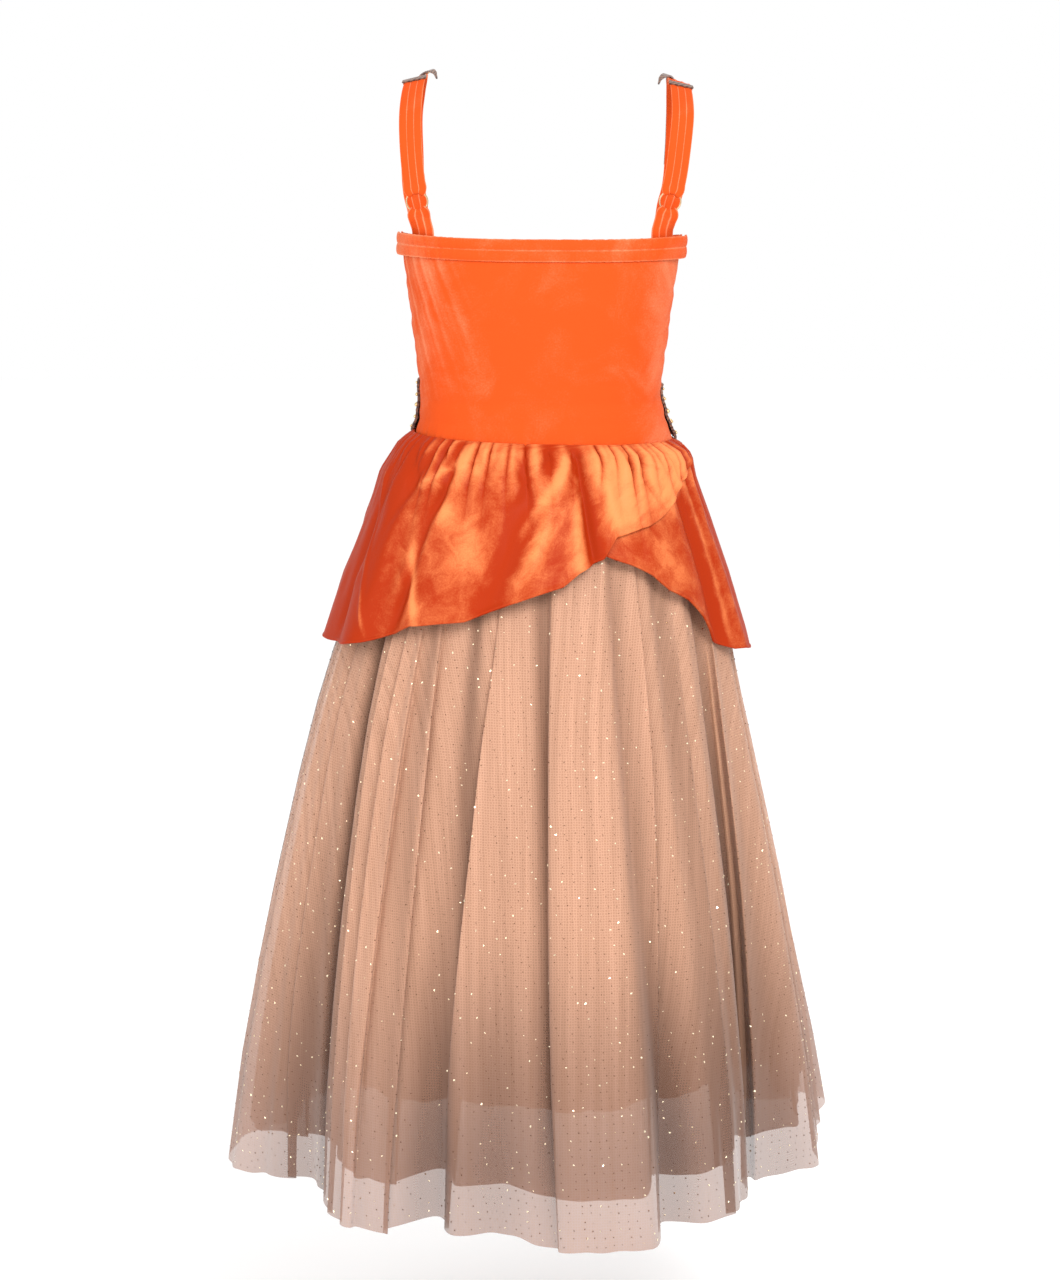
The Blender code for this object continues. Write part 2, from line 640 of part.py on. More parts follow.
def build_neck_trim(strap, trim):
    past = np.linspace(NECK_TRIM_ROWS[0, 0], NECK_TRIM_ROWS[-1, 0], 19)
    inward, out, half = (np.interp(past, NECK_TRIM_ROWS[:, 0], NECK_TRIM_ROWS[:, k])[:, None] for k in (1, 2, 3))
    inward = inward - NECK_TRIM_SHIFT[strap.side] * soft_step(past, 0.010, 0.032)[:, None]
    across = strap.inner * inward + half * np.linspace(-1, 1, 3)[None, :]
    along, across, out = np.broadcast_arrays(strap.seam + past[:, None], across, out)
    wall("neck_trim_" + strap.side, strap.at(along, across, out), BRAID_THICK, trim)


def main():
    clear_scene()
    velvet = material("stretch_velvet_orange", ORANGE, 0.75)
    satin_velvet = material("stretch_velvet_dark_orange", DARK_ORANGE, 0.5)
    glitter_net = material("nylon_net_glitter_tan", PALE_TAN, 0.8)
    net = material("nylon_net_tan", TAN, 0.85)
    lining = material("taffeta_lining_tan", TAN, 0.6)
    trim = material("beaded_braid_brown", BROWN, 0.6)
    metal = material("zinc_ring_pale_gold", PALE_GOLD, 0.25, 1.0)
    build_bodice(velvet, trim)
    build_peplum(satin_velvet)
    build_skirts({
        "net_skirt": (NET, glitter_net),
        "under_net": (NET, net),
        "lining": (LINING, lining),
    })
    for side in STRAP_ROUTES:
        strap = Strap(side)
        build_back_strap(strap, velvet)
        build_tab(strap, velvet)
        build_front_strap(strap, velvet)
        build_ring(strap, metal)
        build_shoulder_braid(strap, trim)
        build_neck_trim(strap, trim)


main()
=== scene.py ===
# %% [markdown]
# # A child's costume dress, shown from behind
# The dress hangs filled out, as if it were worn, with nobody inside. It has a bodice of stretch velvet
# with an elastic casing along its top edge, two straps with metal rings, a crossed and gathered peplum of
# pressed velvet, and a long skirt: glitter net over plain net over a woven lining. Each cell below makes
# one kind of piece. Lengths are metres, +Z is up, the back of the dress faces -Y and +X is the wearer's right.

import bpy
import numpy as np
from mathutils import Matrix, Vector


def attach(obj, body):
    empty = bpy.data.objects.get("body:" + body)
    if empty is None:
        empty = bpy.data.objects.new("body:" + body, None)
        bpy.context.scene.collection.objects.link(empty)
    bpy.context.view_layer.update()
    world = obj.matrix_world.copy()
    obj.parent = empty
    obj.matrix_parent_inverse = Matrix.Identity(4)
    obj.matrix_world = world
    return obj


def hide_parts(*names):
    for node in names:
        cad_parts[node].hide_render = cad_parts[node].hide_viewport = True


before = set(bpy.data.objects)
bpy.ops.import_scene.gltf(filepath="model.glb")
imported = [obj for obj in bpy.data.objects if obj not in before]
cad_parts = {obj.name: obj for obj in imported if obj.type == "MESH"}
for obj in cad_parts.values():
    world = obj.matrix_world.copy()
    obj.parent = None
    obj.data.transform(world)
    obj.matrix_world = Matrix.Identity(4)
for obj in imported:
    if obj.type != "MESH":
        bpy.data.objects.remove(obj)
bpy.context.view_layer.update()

# %% [markdown]
# ## Colours and shader nodes
# Cloth colours are written as the sRGB hex values that a colour picker shows. Blender's shaders want
# linear light, so one function turns them: below 0.04045 it divides by 12.92, above that it takes
# ((value + 0.055) / 1.055) to the power 2.4. A second small function adds one node, sets its options and
# fills its sockets, either with a value or with a link.

# %% Colour and node helpers
def linear(hex_colour, alpha=1.0):
    """sRGB hex to linear RGB: value / 12.92 below 0.04045, else ((value + 0.055) / 1.055) ** 2.4."""
    shown = np.array([int(hex_colour[k:k + 2], 16) for k in (1, 3, 5)]) / 255
    light = np.where(shown <= 0.04045, shown / 12.92, ((shown + 0.055) / 1.055) ** 2.4)
    return (*light.tolist(), alpha)


def add_node(tree, kind, sockets=None, **options):
    """Add a node, set its options, and give each named or numbered input a value or a link."""
    made = tree.nodes.new(kind)
    for option, value in options.items():
        setattr(made, option, value)
    for socket, value in (sockets or {}).items():
        if isinstance(value, bpy.types.NodeSocket):
            tree.links.new(value, made.inputs[socket])
        else:
            made.inputs[socket].default_value = value
    return made


def new_material(name):
    """An empty node material and its output node."""
    made = bpy.data.materials.new(name)
    made.use_nodes = True
    made.node_tree.nodes.clear()
    return made, made.node_tree


def finish_material(tree, shader):
    """Link the shader to a new output node."""
    add_node(tree, "ShaderNodeOutputMaterial", {"Surface": shader.outputs["BSDF"]})


# %% [markdown]
# ## Stretch velvet
# Velvet is a knitted ground with a short upright pile. The pile is dark when the eye looks into it and
# pale where it is brushed over or seen edge on. A sheen layer gives the pale edges. Patches of crushed pile
# and painted sheen are broad soft noise in the pale colour, strongest where a value that each piece carries
# is high; where that value is low the base colour stays as painted shade. A fine noise of about 1.5 mm,
# coarser than real pile so that it shows, gives the nap its grain.

# %% Velvet materials
def velvet_material(name, base, pale, roughness, sheen, patch_mm, reach):
    made, tree = new_material(name)
    uv = add_node(tree, "ShaderNodeUVMap", uv_map="cloth").outputs["UV"]
    pile_and_painted_light = add_node(tree, "ShaderNodeAttribute", attribute_name="pile_and_painted_light").outputs["Fac"]
    patches = add_node(tree, "ShaderNodeTexNoise", {
        "Vector": uv, "Scale": 1000 / patch_mm, "Detail": 5.0, "Roughness": 0.62, "Distortion": 0.6,
    }).outputs["Fac"]
    grain = add_node(tree, "ShaderNodeTexNoise", {
        "Vector": uv, "Scale": 1000 / 1.5, "Detail": 2.0, "Roughness": 0.7,
    }).outputs["Fac"]
    # Painted sheen: the noise and each piece's value mix the pale colour into the base colour.
    turned = add_node(tree, "ShaderNodeMath", {
        0: patches, 1: 0.75, 2: pile_and_painted_light,
    }, operation="MULTIPLY_ADD").outputs[0]
    lifted = add_node(tree, "ShaderNodeMath", {
        0: grain, 1: 0.35, 2: turned,
    }, operation="MULTIPLY_ADD").outputs[0]
    share = add_node(tree, "ShaderNodeMapRange", {
        "Value": lifted, "From Min": 0.48, "From Max": 1.32, "To Min": 0.0, "To Max": reach,
    }, interpolation_type="SMOOTHSTEP").outputs["Result"]
    colour = add_node(tree, "ShaderNodeMix", {
        0: share, 6: linear(base), 7: linear(pale),
    }, data_type="RGBA").outputs[2]
    raised = add_node(tree, "ShaderNodeBump", {
        "Height": grain, "Strength": 0.25, "Distance": 0.0004,
    }).outputs["Normal"]
    finish_material(tree, add_node(tree, "ShaderNodeBsdfPrincipled", {
        "Base Color": colour, "Roughness": roughness, "Normal": raised, "Specular IOR Level": 0.05,
        "Sheen Weight": sheen, "Sheen Roughness": 0.35, "Sheen Tint": linear(pale),
    }))
    return made


# Short upright pile: a matt, saturated orange with a pale bloom at the edges, from its sheen and from painted
# sheen.
velvet = velvet_material("stretch_velvet_upright_pile", "#C94918", "#E39A74", 0.72, 0.09, 45, 0.80)
# The same velvet pressed flat: smoother, so it takes broad satin lights, and more satin lights are painted in
# its pale colour.
pressed_velvet = velvet_material("stretch_velvet_pressed_pile", "#9C2C0B", "#E4854F", 0.44, 0.05, 18, 0.95)
print("velvets:", velvet.name, pressed_velvet.name)

# %% [markdown]
# ## The figure's outline and the waist seam
# Everything hangs from level rings around a general figure. A ring is a superellipse worked out quarter by
# quarter: x = half width * sin(angle) ** (2 / squareness), y = half depth * cos(angle) ** (2 / squareness).
# A short table gives the half widths and depths at each height and the rest is read between its rows, so
# the cloth here lies on the same form as the solids.

# %% Outline tables and functions
# height, left half width, right half width, back half depth, front half depth, squareness
BODICE_ROWS = np.array([
    (-0.120, 0.1190, 0.1205, 0.0830, 0.0860, 2.90),
    (-0.155, 0.1158, 0.1156, 0.0850, 0.0890, 2.80),
    (-0.185, 0.1120, 0.1114, 0.0835, 0.0880, 2.60),
    (-0.217, 0.1082, 0.1076, 0.0795, 0.0840, 2.50),
    (-0.251, 0.1041, 0.1028, 0.0750, 0.0790, 2.40),
    (-0.268, 0.1028, 0.1021, 0.0735, 0.0775, 2.35),
    (-0.285, 0.1043, 0.1064, 0.0740, 0.0780, 2.30),
    (-0.302, 0.1085, 0.1118, 0.0760, 0.0800, 2.30),
])
PEPLUM_ROWS = np.array([
    (-0.3025, 0.1085, 0.1118, 0.0760, 0.0800, 2.30),
    (-0.3100, 0.1172, 0.1236, 0.0840, 0.0875, 2.28),
    (-0.3180, 0.1228, 0.1288, 0.0900, 0.0935, 2.25),
    (-0.3345, 0.1346, 0.1328, 0.0995, 0.1035, 2.20),
    (-0.3740, 0.1500, 0.1474, 0.1135, 0.1170, 2.12),
    (-0.4170, 0.1680, 0.1625, 0.1290, 0.1320, 2.06),
    (-0.4750, 0.1873, 0.1800, 0.1470, 0.1500, 2.00),
    (-0.4900, 0.1930, 0.1840, 0.1510, 0.1540, 2.00),
])
SKIRT_ROWS = np.array([
    (-0.3025, 0.1070, 0.1103, 0.0745, 0.0785, 2.30),
    (-0.3180, 0.1130, 0.1150, 0.0800, 0.0840, 2.25),
    (-0.3350, 0.1225, 0.1240, 0.0885, 0.0925, 2.20),
    (-0.3740, 0.1385, 0.1385, 0.1030, 0.1070, 2.12),
    (-0.4170, 0.1550, 0.1520, 0.1170, 0.1200, 2.06),
    (-0.4830, 0.1800, 0.1690, 0.1370, 0.1390, 2.00),
    (-0.5320, 0.1955, 0.1795, 0.1500, 0.1520, 2.00),
    (-0.5950, 0.2122, 0.1950, 0.1680, 0.1690, 2.00),
    (-0.6940, 0.2355, 0.2200, 0.1960, 0.1960, 2.00),
    (-0.7670, 0.2512, 0.2370, 0.2160, 0.2150, 2.00),
    (-0.8490, 0.2668, 0.2560, 0.2390, 0.2380, 2.00),
    (-0.9485, 0.2810, 0.2750, 0.2620, 0.2600, 2.00),
])
GATHERED_TOP = -0.3022
SEAM_HALF_GAP = 0.0002
VELVET_THICK = 0.0012
HALVES = {"back": (-90.0, 90.0, -1.0), "front": (90.0, 270.0, 1.0)}


def outline(rows, angle, height, share=1.0, inset=0.0):
    """Points of level superellipse rings: half width or depth times sine or cosine
    to the power 2 / squareness."""
    left, right, back, front, square = (np.interp(-height, -rows[:, 0], rows[:, k]) for k in range(1, 6))
    side, turn = np.sin(angle), np.cos(angle)
    wide = np.where(side > 0, right, left) * share - inset
    deep = np.where(turn > 0, back, front) * share - inset
    x = wide * np.sign(side) * np.abs(side) ** (2 / square)
    y = -deep * np.sign(turn) * np.abs(turn) ** (2 / square)
    return np.stack(np.broadcast_arrays(x, y, height), axis=-1)


def fold_value(table, column, angle):
    """A column read round the body: half a cosine wave carries it from each row to the next."""
    first = table[0, 0]
    turned = (np.degrees(angle) - first) % 360 + first
    angles = np.append(table[:, 0], first + 360)
    values = np.append(table[:, column], table[0, column])
    place = np.clip(np.searchsorted(angles, turned, side="right") - 1, 0, len(table) - 1)
    part = (turned - angles[place]) / (angles[place + 1] - angles[place])
    blend = (1 - np.cos(np.pi * part)) / 2
    return values[place] * (1 - blend) + values[place + 1] * blend


def waist_height(angle):
    """The seam lies 2.5 mm lower at the back centre and 3.2 mm lower at the right side."""
    return -0.2990 - 0.0025 * np.cos(angle) - 0.0032 * np.sin(angle)


def row_height(angle, height):
    """Height at which gathered rows are read, so that they start at the seam wherever it sits."""
    below = waist_height(angle) - height
    return height + (GATHERED_TOP - waist_height(angle)) * np.clip(1 - below / 0.10, 0, 1)


def soft_step(value, start, end):
    """3 t ** 2 - 2 t ** 3, where t goes from 0 to 1 between start and end."""
    part = np.clip((value - start) / (end - start), 0, 1)
    return part * part * (3 - 2 * part)


def unevenness(place, pitch, seed):
    """A smooth hand-made wobble from -1 to 1: three sine waves of unrelated lengths and chance phases."""
    phases = np.random.default_rng(seed).uniform(0, 2 * np.pi, 3)
    waves = [np.sin(place * pitch * stretch + phase) for stretch, phase in zip((1.0, 1.63, 2.71), phases)]
    return (waves[0] + 0.7 * waves[1] + 0.5 * waves[2]) / 2.2


# %% [markdown]
# ## From a grid of points to a piece of cloth
# A cloth panel is a grid: rows run down from the top edge and columns run round the body. Velvet becomes a
# closed thin shell, which is the grid moved out and in by half the thickness along its normals, with the
# four rims joined. Net is so thin and sheer that one open layer is right. Each panel carries a UV map
# measured in metres along its rows and columns, so that nap and net keep their real size on it.

# %% Cloth from a grid
def normals_of(middle):
    """Unit normals: the direction down the rows crossed with the direction along the columns."""
    normal = np.cross(np.gradient(middle, axis=0), np.gradient(middle, axis=1))
    return normal / np.maximum(np.linalg.norm(normal, axis=-1, keepdims=True), 1e-12)


def cloth_uv(middle):
    """Distances in metres along the rows and down the columns, from the middle column and the top row."""
    along = np.linalg.norm(np.diff(middle, axis=1), axis=-1)
    down = np.linalg.norm(np.diff(middle, axis=0), axis=-1)
    along = np.pad(np.cumsum(along, axis=1), ((0, 0), (1, 0)))
    down = np.pad(np.cumsum(down, axis=0), ((1, 0), (0, 0)))
    centred = along - along[:, middle.shape[1] // 2][:, None]
    return np.stack([centred, -down], axis=-1)


def put_mesh(name, points, faces, finish, uv=None, values=None, sharp=None):
    """A mesh object from arrays of points and faces, with the cloth UV map and named values per point."""
    mesh = bpy.data.meshes.new(name)
    mesh.from_pydata(points.tolist(), [], faces.tolist())
    mesh.materials.append(finish)
    corner_points = np.empty(len(mesh.loops), dtype=np.int32)
    mesh.loops.foreach_get("vertex_index", corner_points)
    if uv is not None:
        mesh.uv_layers.new(name="cloth").data.foreach_set("uv", uv[corner_points].astype(np.float32).ravel())
    for label, value in (values or {}).items():
        layer = mesh.attributes.new(label, "FLOAT", "POINT")
        layer.data.foreach_set("value", np.asarray(value, dtype=np.float32).ravel())
    mesh.shade_smooth()
    if sharp:
        mesh.set_sharp_from_angle(angle=np.radians(sharp))
    made = bpy.data.objects.new(name, mesh)
    bpy.context.scene.collection.objects.link(made)
    return made


def grid_faces(rows, columns):
    """Four-cornered faces of a grid, turned so that they look out."""
    place = np.arange(rows * columns).reshape(rows, columns)
    return np.stack([place[:-1, :-1], place[1:, :-1], place[1:, 1:], place[:-1, 1:]], axis=-1).reshape(-1, 4)


def shell(name, middle, thick, finish, pile_and_painted_light=0.0):
    """Closed cloth wall: the grid moved by plus and minus half the thickness along its
    normals, with four rims."""
    rows, columns = middle.shape[:2]
    half = np.broadcast_to(np.asarray(thick) / 2, (rows, columns))[..., None]
    offset = normals_of(middle) * half
    points = np.concatenate([(middle + offset).reshape(-1, 3), (middle - offset).reshape(-1, 3)])
    outer = np.arange(rows * columns).reshape(rows, columns)
    inner = outer + rows * columns
    rims = [
        (outer[0, :-1], outer[0, 1:], inner[0, 1:], inner[0, :-1]),
        (outer[-1, 1:], outer[-1, :-1], inner[-1, :-1], inner[-1, 1:]),
        (outer[:-1, 0], inner[:-1, 0], inner[1:, 0], outer[1:, 0]),
        (outer[1:, -1], inner[1:, -1], inner[:-1, -1], outer[:-1, -1]),
    ]
    skin = grid_faces(rows, columns)
    rims = [np.stack(rim, axis=-1) for rim in rims]
    faces = np.concatenate([skin, skin[:, ::-1] + rows * columns] + rims)
    uv = np.tile(cloth_uv(middle).reshape(-1, 2), (2, 1))
    carried = np.tile(np.broadcast_to(pile_and_painted_light, (rows, columns)).reshape(-1), 2)
    return put_mesh(name, points, faces, finish, uv, {"pile_and_painted_light": carried}, sharp=60)


def declare(piece, slot_name, *nodes):
    """The piece rides on the one body and stands for these nodes.
    The slot name is not used."""
    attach(piece, "root")
    if nodes:
        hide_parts(*nodes)
    return piece


def declare_cloth(piece, slot_name, nodes):
    """The same for a sheet of cloth."""
    declare(piece, slot_name, *nodes)


# %% [markdown]
# ## The bodice
# Back and front are one panel of stretch velvet each, tight on the figure. The cloth is nearly smooth: it
# only puckers along the seams, where the thread draws it in, and pulls into shallow level creases at the
# sides. Sculpting could do this, but a few waves added to the grid are quicker and stay even in size.

# %% Bodice back and front
SEAM_PUCKER = 0.0005
SIDE_CREASE = 0.0007
WAIST_PULL = 0.0005


def back_top_height(angle):
    """The back's top edge dips 3.5 mm at the centre and sits 1.2 mm lower on the right."""
    return -0.1305 + 0.0035 * np.sin(angle) ** 2 - 0.0012 * np.sin(angle)


def front_top_height(angle):
    """The front's top edge dips 10 mm at the centre."""
    return -0.1290 - 0.0100 * np.cos(angle) ** 2


def bodice_grid(half, top, drops, columns):
    """Level rings from the top edge to the waist seam, with puckers at the seam and side creases."""
    start, end, side = HALVES[half]
    angle, drop = np.meshgrid(np.radians(np.linspace(start, end, columns)), drops)
    height = top(angle) * (1 - drop) + (waist_height(angle) - 0.0010) * drop
    middle = outline(BODICE_ROWS, angle, height) + np.array((0.0, SEAM_HALF_GAP * side, 0.0))
    near_waist = np.exp(-(height - waist_height(angle)) / 0.007)
    pucker = SEAM_PUCKER * near_waist * unevenness(angle, 46, 3)
    at_side = np.abs(np.sin(angle)) ** 5
    crease = SIDE_CREASE * at_side * unevenness(height + 0.012 * np.sin(3 * angle), 210, 5)
    pull = WAIST_PULL * unevenness(height * 9 + np.sin(angle) * 1.3, 9, 8) * near_waist ** 0.3
    # Nothing moves at the very top, where the casing or the trim is laid on.
    free = soft_step(drop, 0.10, 0.20)
    return middle + normals_of(middle) * ((crease + pull) * free + pucker)[..., None], angle, height


back_middle, back_angle, back_height = bodice_grid("back", back_top_height, np.linspace(0, 1, 96), 181)
front_middle, _, _ = bodice_grid("front", front_top_height, np.linspace(0, 1, 96), 181)

# The pile is crushed the other way in streaks down the left of the back, and along its right edge, where the
# cloth turns edge on; these pale marks are partly crushed pile and partly painted sheen.
left_patch = soft_step(-back_middle[..., 0], 0.035, 0.100) * soft_step(-back_height, 0.315, 0.17)
streaked = 0.16 * unevenness(back_height * 3 + back_angle, 31, 14) * left_patch
right_edge = 0.22 * soft_step(back_middle[..., 0], 0.070, 0.108)
pile_and_painted_light_back = -0.04 + 0.22 * left_patch + right_edge + streaked
# Painted sheen: the front is paler at both sides, where the cloth turns edge on.
pile_and_painted_light_front = -0.04 + 0.20 * soft_step(np.abs(front_middle[..., 0]), 0.070, 0.108)
bodice_back = shell("velvet_bodice_back", back_middle, VELVET_THICK, velvet, pile_and_painted_light_back)
bodice_front = shell("velvet_bodice_front", front_middle, VELVET_THICK, velvet, pile_and_painted_light_front)
declare_cloth(bodice_back, "velvet", ["bodice_back"])

# %% [markdown]
# ## The elastic casing
# A strip of the same velvet is folded over two rows of elastic and stitched on along the back's top edge.
# It swells over each elastic, sinks at the three stitch lines and ruches slightly. It is laid on the back
# panel: the same grid, moved out by half of both thicknesses and the seam's gap.

# %% Casing
def on_panel(middle, thick):
    """The grid of a piece that lies on a velvet panel, clear of it by 0.3 mm."""
    return middle + normals_of(middle) * (VELVET_THICK / 2 + 0.0003 + thick / 2)


CASING_THICK = 0.0014
CASING_SWELL = 0.0009
CASING_RUCHE = 0.00022
plain_back, casing_angle, _ = bodice_grid("back", back_top_height, np.linspace(0, 0.105, 33), 321)
casing_place = np.linspace(0, 1, 33)[:, None]
casing_side = np.sin(casing_angle)
ends = (0.0022 + 0.0016 * casing_place) * np.clip(casing_side, 0, 1) ** 8
ends = ends + (0.0010 + 0.0024 * casing_place) * np.clip(-casing_side, 0, 1) ** 8
swell = CASING_SWELL * np.abs(np.sin(2 * np.pi * casing_place)) ** 0.8
ruche = CASING_RUCHE * (1 + unevenness(casing_angle, 5, 9)) * unevenness(casing_angle, 70, 12)
ruche = ruche * (swell > 0.0001)
casing_middle = on_panel(plain_back, CASING_THICK)
casing_middle = casing_middle + normals_of(casing_middle) * (ends + swell + ruche)[..., None]
stitch_line = np.exp(-((np.abs(np.sin(2 * np.pi * casing_place))) / 0.25) ** 2)
# Pressed pile and painted sheen: paler along the three stitch lines and at the left end.
casing_pile_and_painted_light = 0.30 * stitch_line + 0.35 * np.clip(-casing_side, 0, 1) ** 6
casing = shell("velvet_casing", casing_middle, CASING_THICK, velvet, casing_pile_and_painted_light)
declare_cloth(casing, "velvet", ["top_casing"])

# %% [markdown]
# ## The peplum
# Two panels of pressed velvet are gathered into the waist seam and cross at the right of the back: the
# panel from the left lies over the one from the right. Three sizes of fold add up in the distance from the
# body: broad flutes that grow towards the hem, gathers that start at the seam and fade, and single creases
# listed in a table. The hem is a narrow roll, so the wall thickens in its last 3 mm. A gather is
# round on its ridge and pinched in its hollow, so its wave is the absolute cosine of half the angle. Pressed
# pile shines in paths of its own; here those satin lights are painted pale, and a second table of the same
# kind says where.

# %% Peplum tables
# angle in degrees, share of the radius by which the hem turns in
PEPLUM_FOLDS = np.array([
    (-92.0, 0.000), (-74.0, 0.045), (-60.0, 0.000), (-47.0, 0.055), (-34.0, 0.000), (-20.0, 0.035),
    (-3.00, -0.01), (17.00, 0.060), (31.00, 0.000), (48.00, 0.030), (64.00, 0.060), (82.00, 0.000),
    (100.0, 0.010), (120.0, 0.055), (140.0, 0.000), (160.0, 0.045), (180.0, 0.000), (202.0, 0.050),
    (224.0, 0.000), (246.0, 0.055),
])
# Free edge of each panel: angle in degrees, height
OVER_HEM = np.array([
    (-180.0, -0.4480), (-135.0, -0.4680), (-90.00, -0.4760), (-70.00, -0.4740), (-55.00, -0.4670),
    (-44.00, -0.4585), (-37.00, -0.4490), (-21.00, -0.4430), (-8.000, -0.4275), (0.0000, -0.4205),
    (6.0000, -0.4145), (11.000, -0.4030), (19.000, -0.3925), (23.500, -0.3745), (30.000, -0.3715),
    (37.500, -0.3665), (45.000, -0.3595), (53.000, -0.3470), (60.000, -0.3360), (71.250, -0.3200),
    (78.750, -0.3110),
])
UNDER_HEM = np.array([
    (-60.00, -0.3180), (-30.00, -0.3450), (0.0000, -0.3740), (20.000, -0.3900), (28.000, -0.3990),
    (35.000, -0.4080), (41.000, -0.4210), (49.000, -0.4310), (56.000, -0.4460), (63.000, -0.4690),
    (72.000, -0.4800), (90.000, -0.4850), (110.00, -0.4830), (135.00, -0.4700), (180.00, -0.4480),
])
# Creases: angle at the top and at the bottom, distances below the seam where each starts and ends,
# half width in degrees, depth (a trough is positive)
CREASES = np.array([
    (-31.0, -35.0, 0.020, 0.060, 2.0, 0.0052),
    (-28.0, -43.0, 0.008, 0.120, 3.2, -0.0034),
    (-35.0, -45.0, 0.040, 0.155, 2.4, 0.0056),
    (-76.0, -54.0, 0.014, 0.165, 1.2, -0.0014),
    (-61.0, -47.0, 0.004, 0.045, 3.0, 0.0034),
    (-52.0, -56.0, 0.050, 0.170, 4.0, -0.0024),
    (-40.0, -34.0, 0.002, 0.026, 1.6, 0.0036),
    (-24.0, -19.0, 0.002, 0.024, 1.5, 0.0034),
    (-15.0, -17.0, 0.002, 0.030, 1.7, 0.0036),
    (-9.00, -4.00, 0.002, 0.040, 2.0, 0.0044),
    (3.000, 0.000, 0.002, 0.022, 1.4, 0.0036),
    (24.00, 21.00, 0.002, 0.020, 1.2, 0.0032),
    (41.00, 36.00, 0.002, 0.020, 1.3, 0.0036),
    (55.00, 60.00, 0.002, 0.034, 1.6, 0.0036),
    (-66.0, -74.0, 0.020, 0.175, 3.0, 0.0028),
    (-45.0, -56.0, 0.006, 0.070, 3.0, 0.0034),
    (-4.0, -15.0, 0.040, 0.140, 4.4, 0.0048),
    (6.0, -4.0, 0.018, 0.110, 2.6, -0.0030),
    (11.5, 17.0, 0.002, 0.105, 2.5, 0.0085),
    (18.0, 26.0, 0.006, 0.075, 3.2, -0.0036),
    (30.0, 34.0, 0.002, 0.026, 1.3, 0.0040),
    (38.0, 44.0, 0.024, 0.048, 1.6, 0.0038),
    (48.0, 52.0, 0.002, 0.030, 1.6, 0.0032),
    (58.0, 66.0, 0.040, 0.185, 3.4, 0.0052),
    (70.0, 76.0, 0.020, 0.185, 3.0, -0.0034),
    (96.0, 100.0, 0.006, 0.110, 3.4, 0.0046),
    (113.0, 108.0, 0.015, 0.160, 4.0, -0.0040),
    (131.0, 127.0, 0.004, 0.090, 3.0, 0.0052),
    (148.0, 153.0, 0.010, 0.150, 4.0, 0.0040),
    (171.0, 168.0, 0.006, 0.120, 3.4, -0.0040),
    (-172.0, -165.0, 0.004, 0.150, 4.2, 0.0050),
    (-150.0, -146.0, 0.010, 0.120, 3.0, -0.0038),
    (-131.0, -138.0, 0.004, 0.130, 3.6, 0.0054),
    (-112.0, -108.0, 0.008, 0.160, 4.0, 0.0042),
    (-95.0, -99.0, 0.004, 0.090, 3.0, -0.0032),
])
# distance below the seam, depth of the gathers as a share of the deepest
GATHER_FADE = np.array([
    (0.0000, 0.35), (0.0050, 0.90), (0.0120, 1.00), (0.0230, 0.62), (0.0450, 0.22), (0.0900, 0.00),
])
# Painted satin highlights on the pile: the same columns, with how pale each is at the end
PALE_PATHS = np.array([
    (-69.0, -50.0, 0.004, 0.040, 3.2, 0.60),
    (-30.0, -49.0, 0.016, 0.042, 3.2, 0.50),
    (-76.0, -54.0, 0.014, 0.165, 0.9, 0.55),
    (-21.0, -22.0, 0.000, 0.032, 8.0, 0.45),
    (-31.0, -31.0, 0.046, 0.070, 4.0, 0.50),
    (-24.0, -19.0, 0.062, 0.114, 6.0, 0.38),
    (-43.0, -34.5, 0.085, 0.155, 1.9, 0.60),
    (-10.0, -6.00, 0.000, 0.024, 7.0, 0.36),
    (10.00, -8.00, 0.002, 0.082, 1.8, 0.45),
    (12.50, 11.00, 0.004, 0.110, 3.0, 0.55),
    (4.000, -12.0, 0.060, 0.130, 3.0, 0.25),
    (25.00, 28.00, 0.000, 0.070, 7.0, 0.60),
    (44.00, 46.00, 0.000, 0.058, 12.0, 0.60),
    (61.00, 60.00, 0.000, 0.040, 8.0, 0.60),
    (66.00, 71.00, 0.040, 0.180, 1.6, 0.40),
    (40.00, 47.00, 0.075, 0.120, 5.0, 0.25),
    (112.0, 108.0, 0.000, 0.110, 7.0, 0.40),
    (146.0, 150.0, 0.000, 0.090, 6.0, 0.45),
    (176.0, 170.0, 0.010, 0.150, 4.0, 0.45),
    (-158.0, -150.0, 0.000, 0.120, 6.0, 0.45),
    (-124.0, -128.0, 0.010, 0.150, 5.0, 0.40),
    (-100.0, -96.0, 0.000, 0.080, 5.0, 0.35),
])

# %% Peplum panels
GATHER_DEEP = 0.0026
OVERLAP_LIFT = 0.0036
CRUMPLE = 0.0011
SEAM_TUCK = 0.0014


def placed(table, angle, below):
    """Sum over rows: last column times a bell curve across the path times a soft window along it."""
    degrees = np.degrees(angle)
    total = np.zeros_like(below)
    for top, bottom, start, end, wide, deep in table:
        along = np.clip((below - start) / (end - start), 0, 1)
        centre = top + (bottom - top) * along
        apart = (degrees - centre + 180) % 360 - 180
        window = soft_step(below, start - 0.008, start + 0.010) * soft_step(below, end + 0.012, end - 0.020)
        total = total + deep * np.exp(-(apart / wide) ** 2) * window
    return total


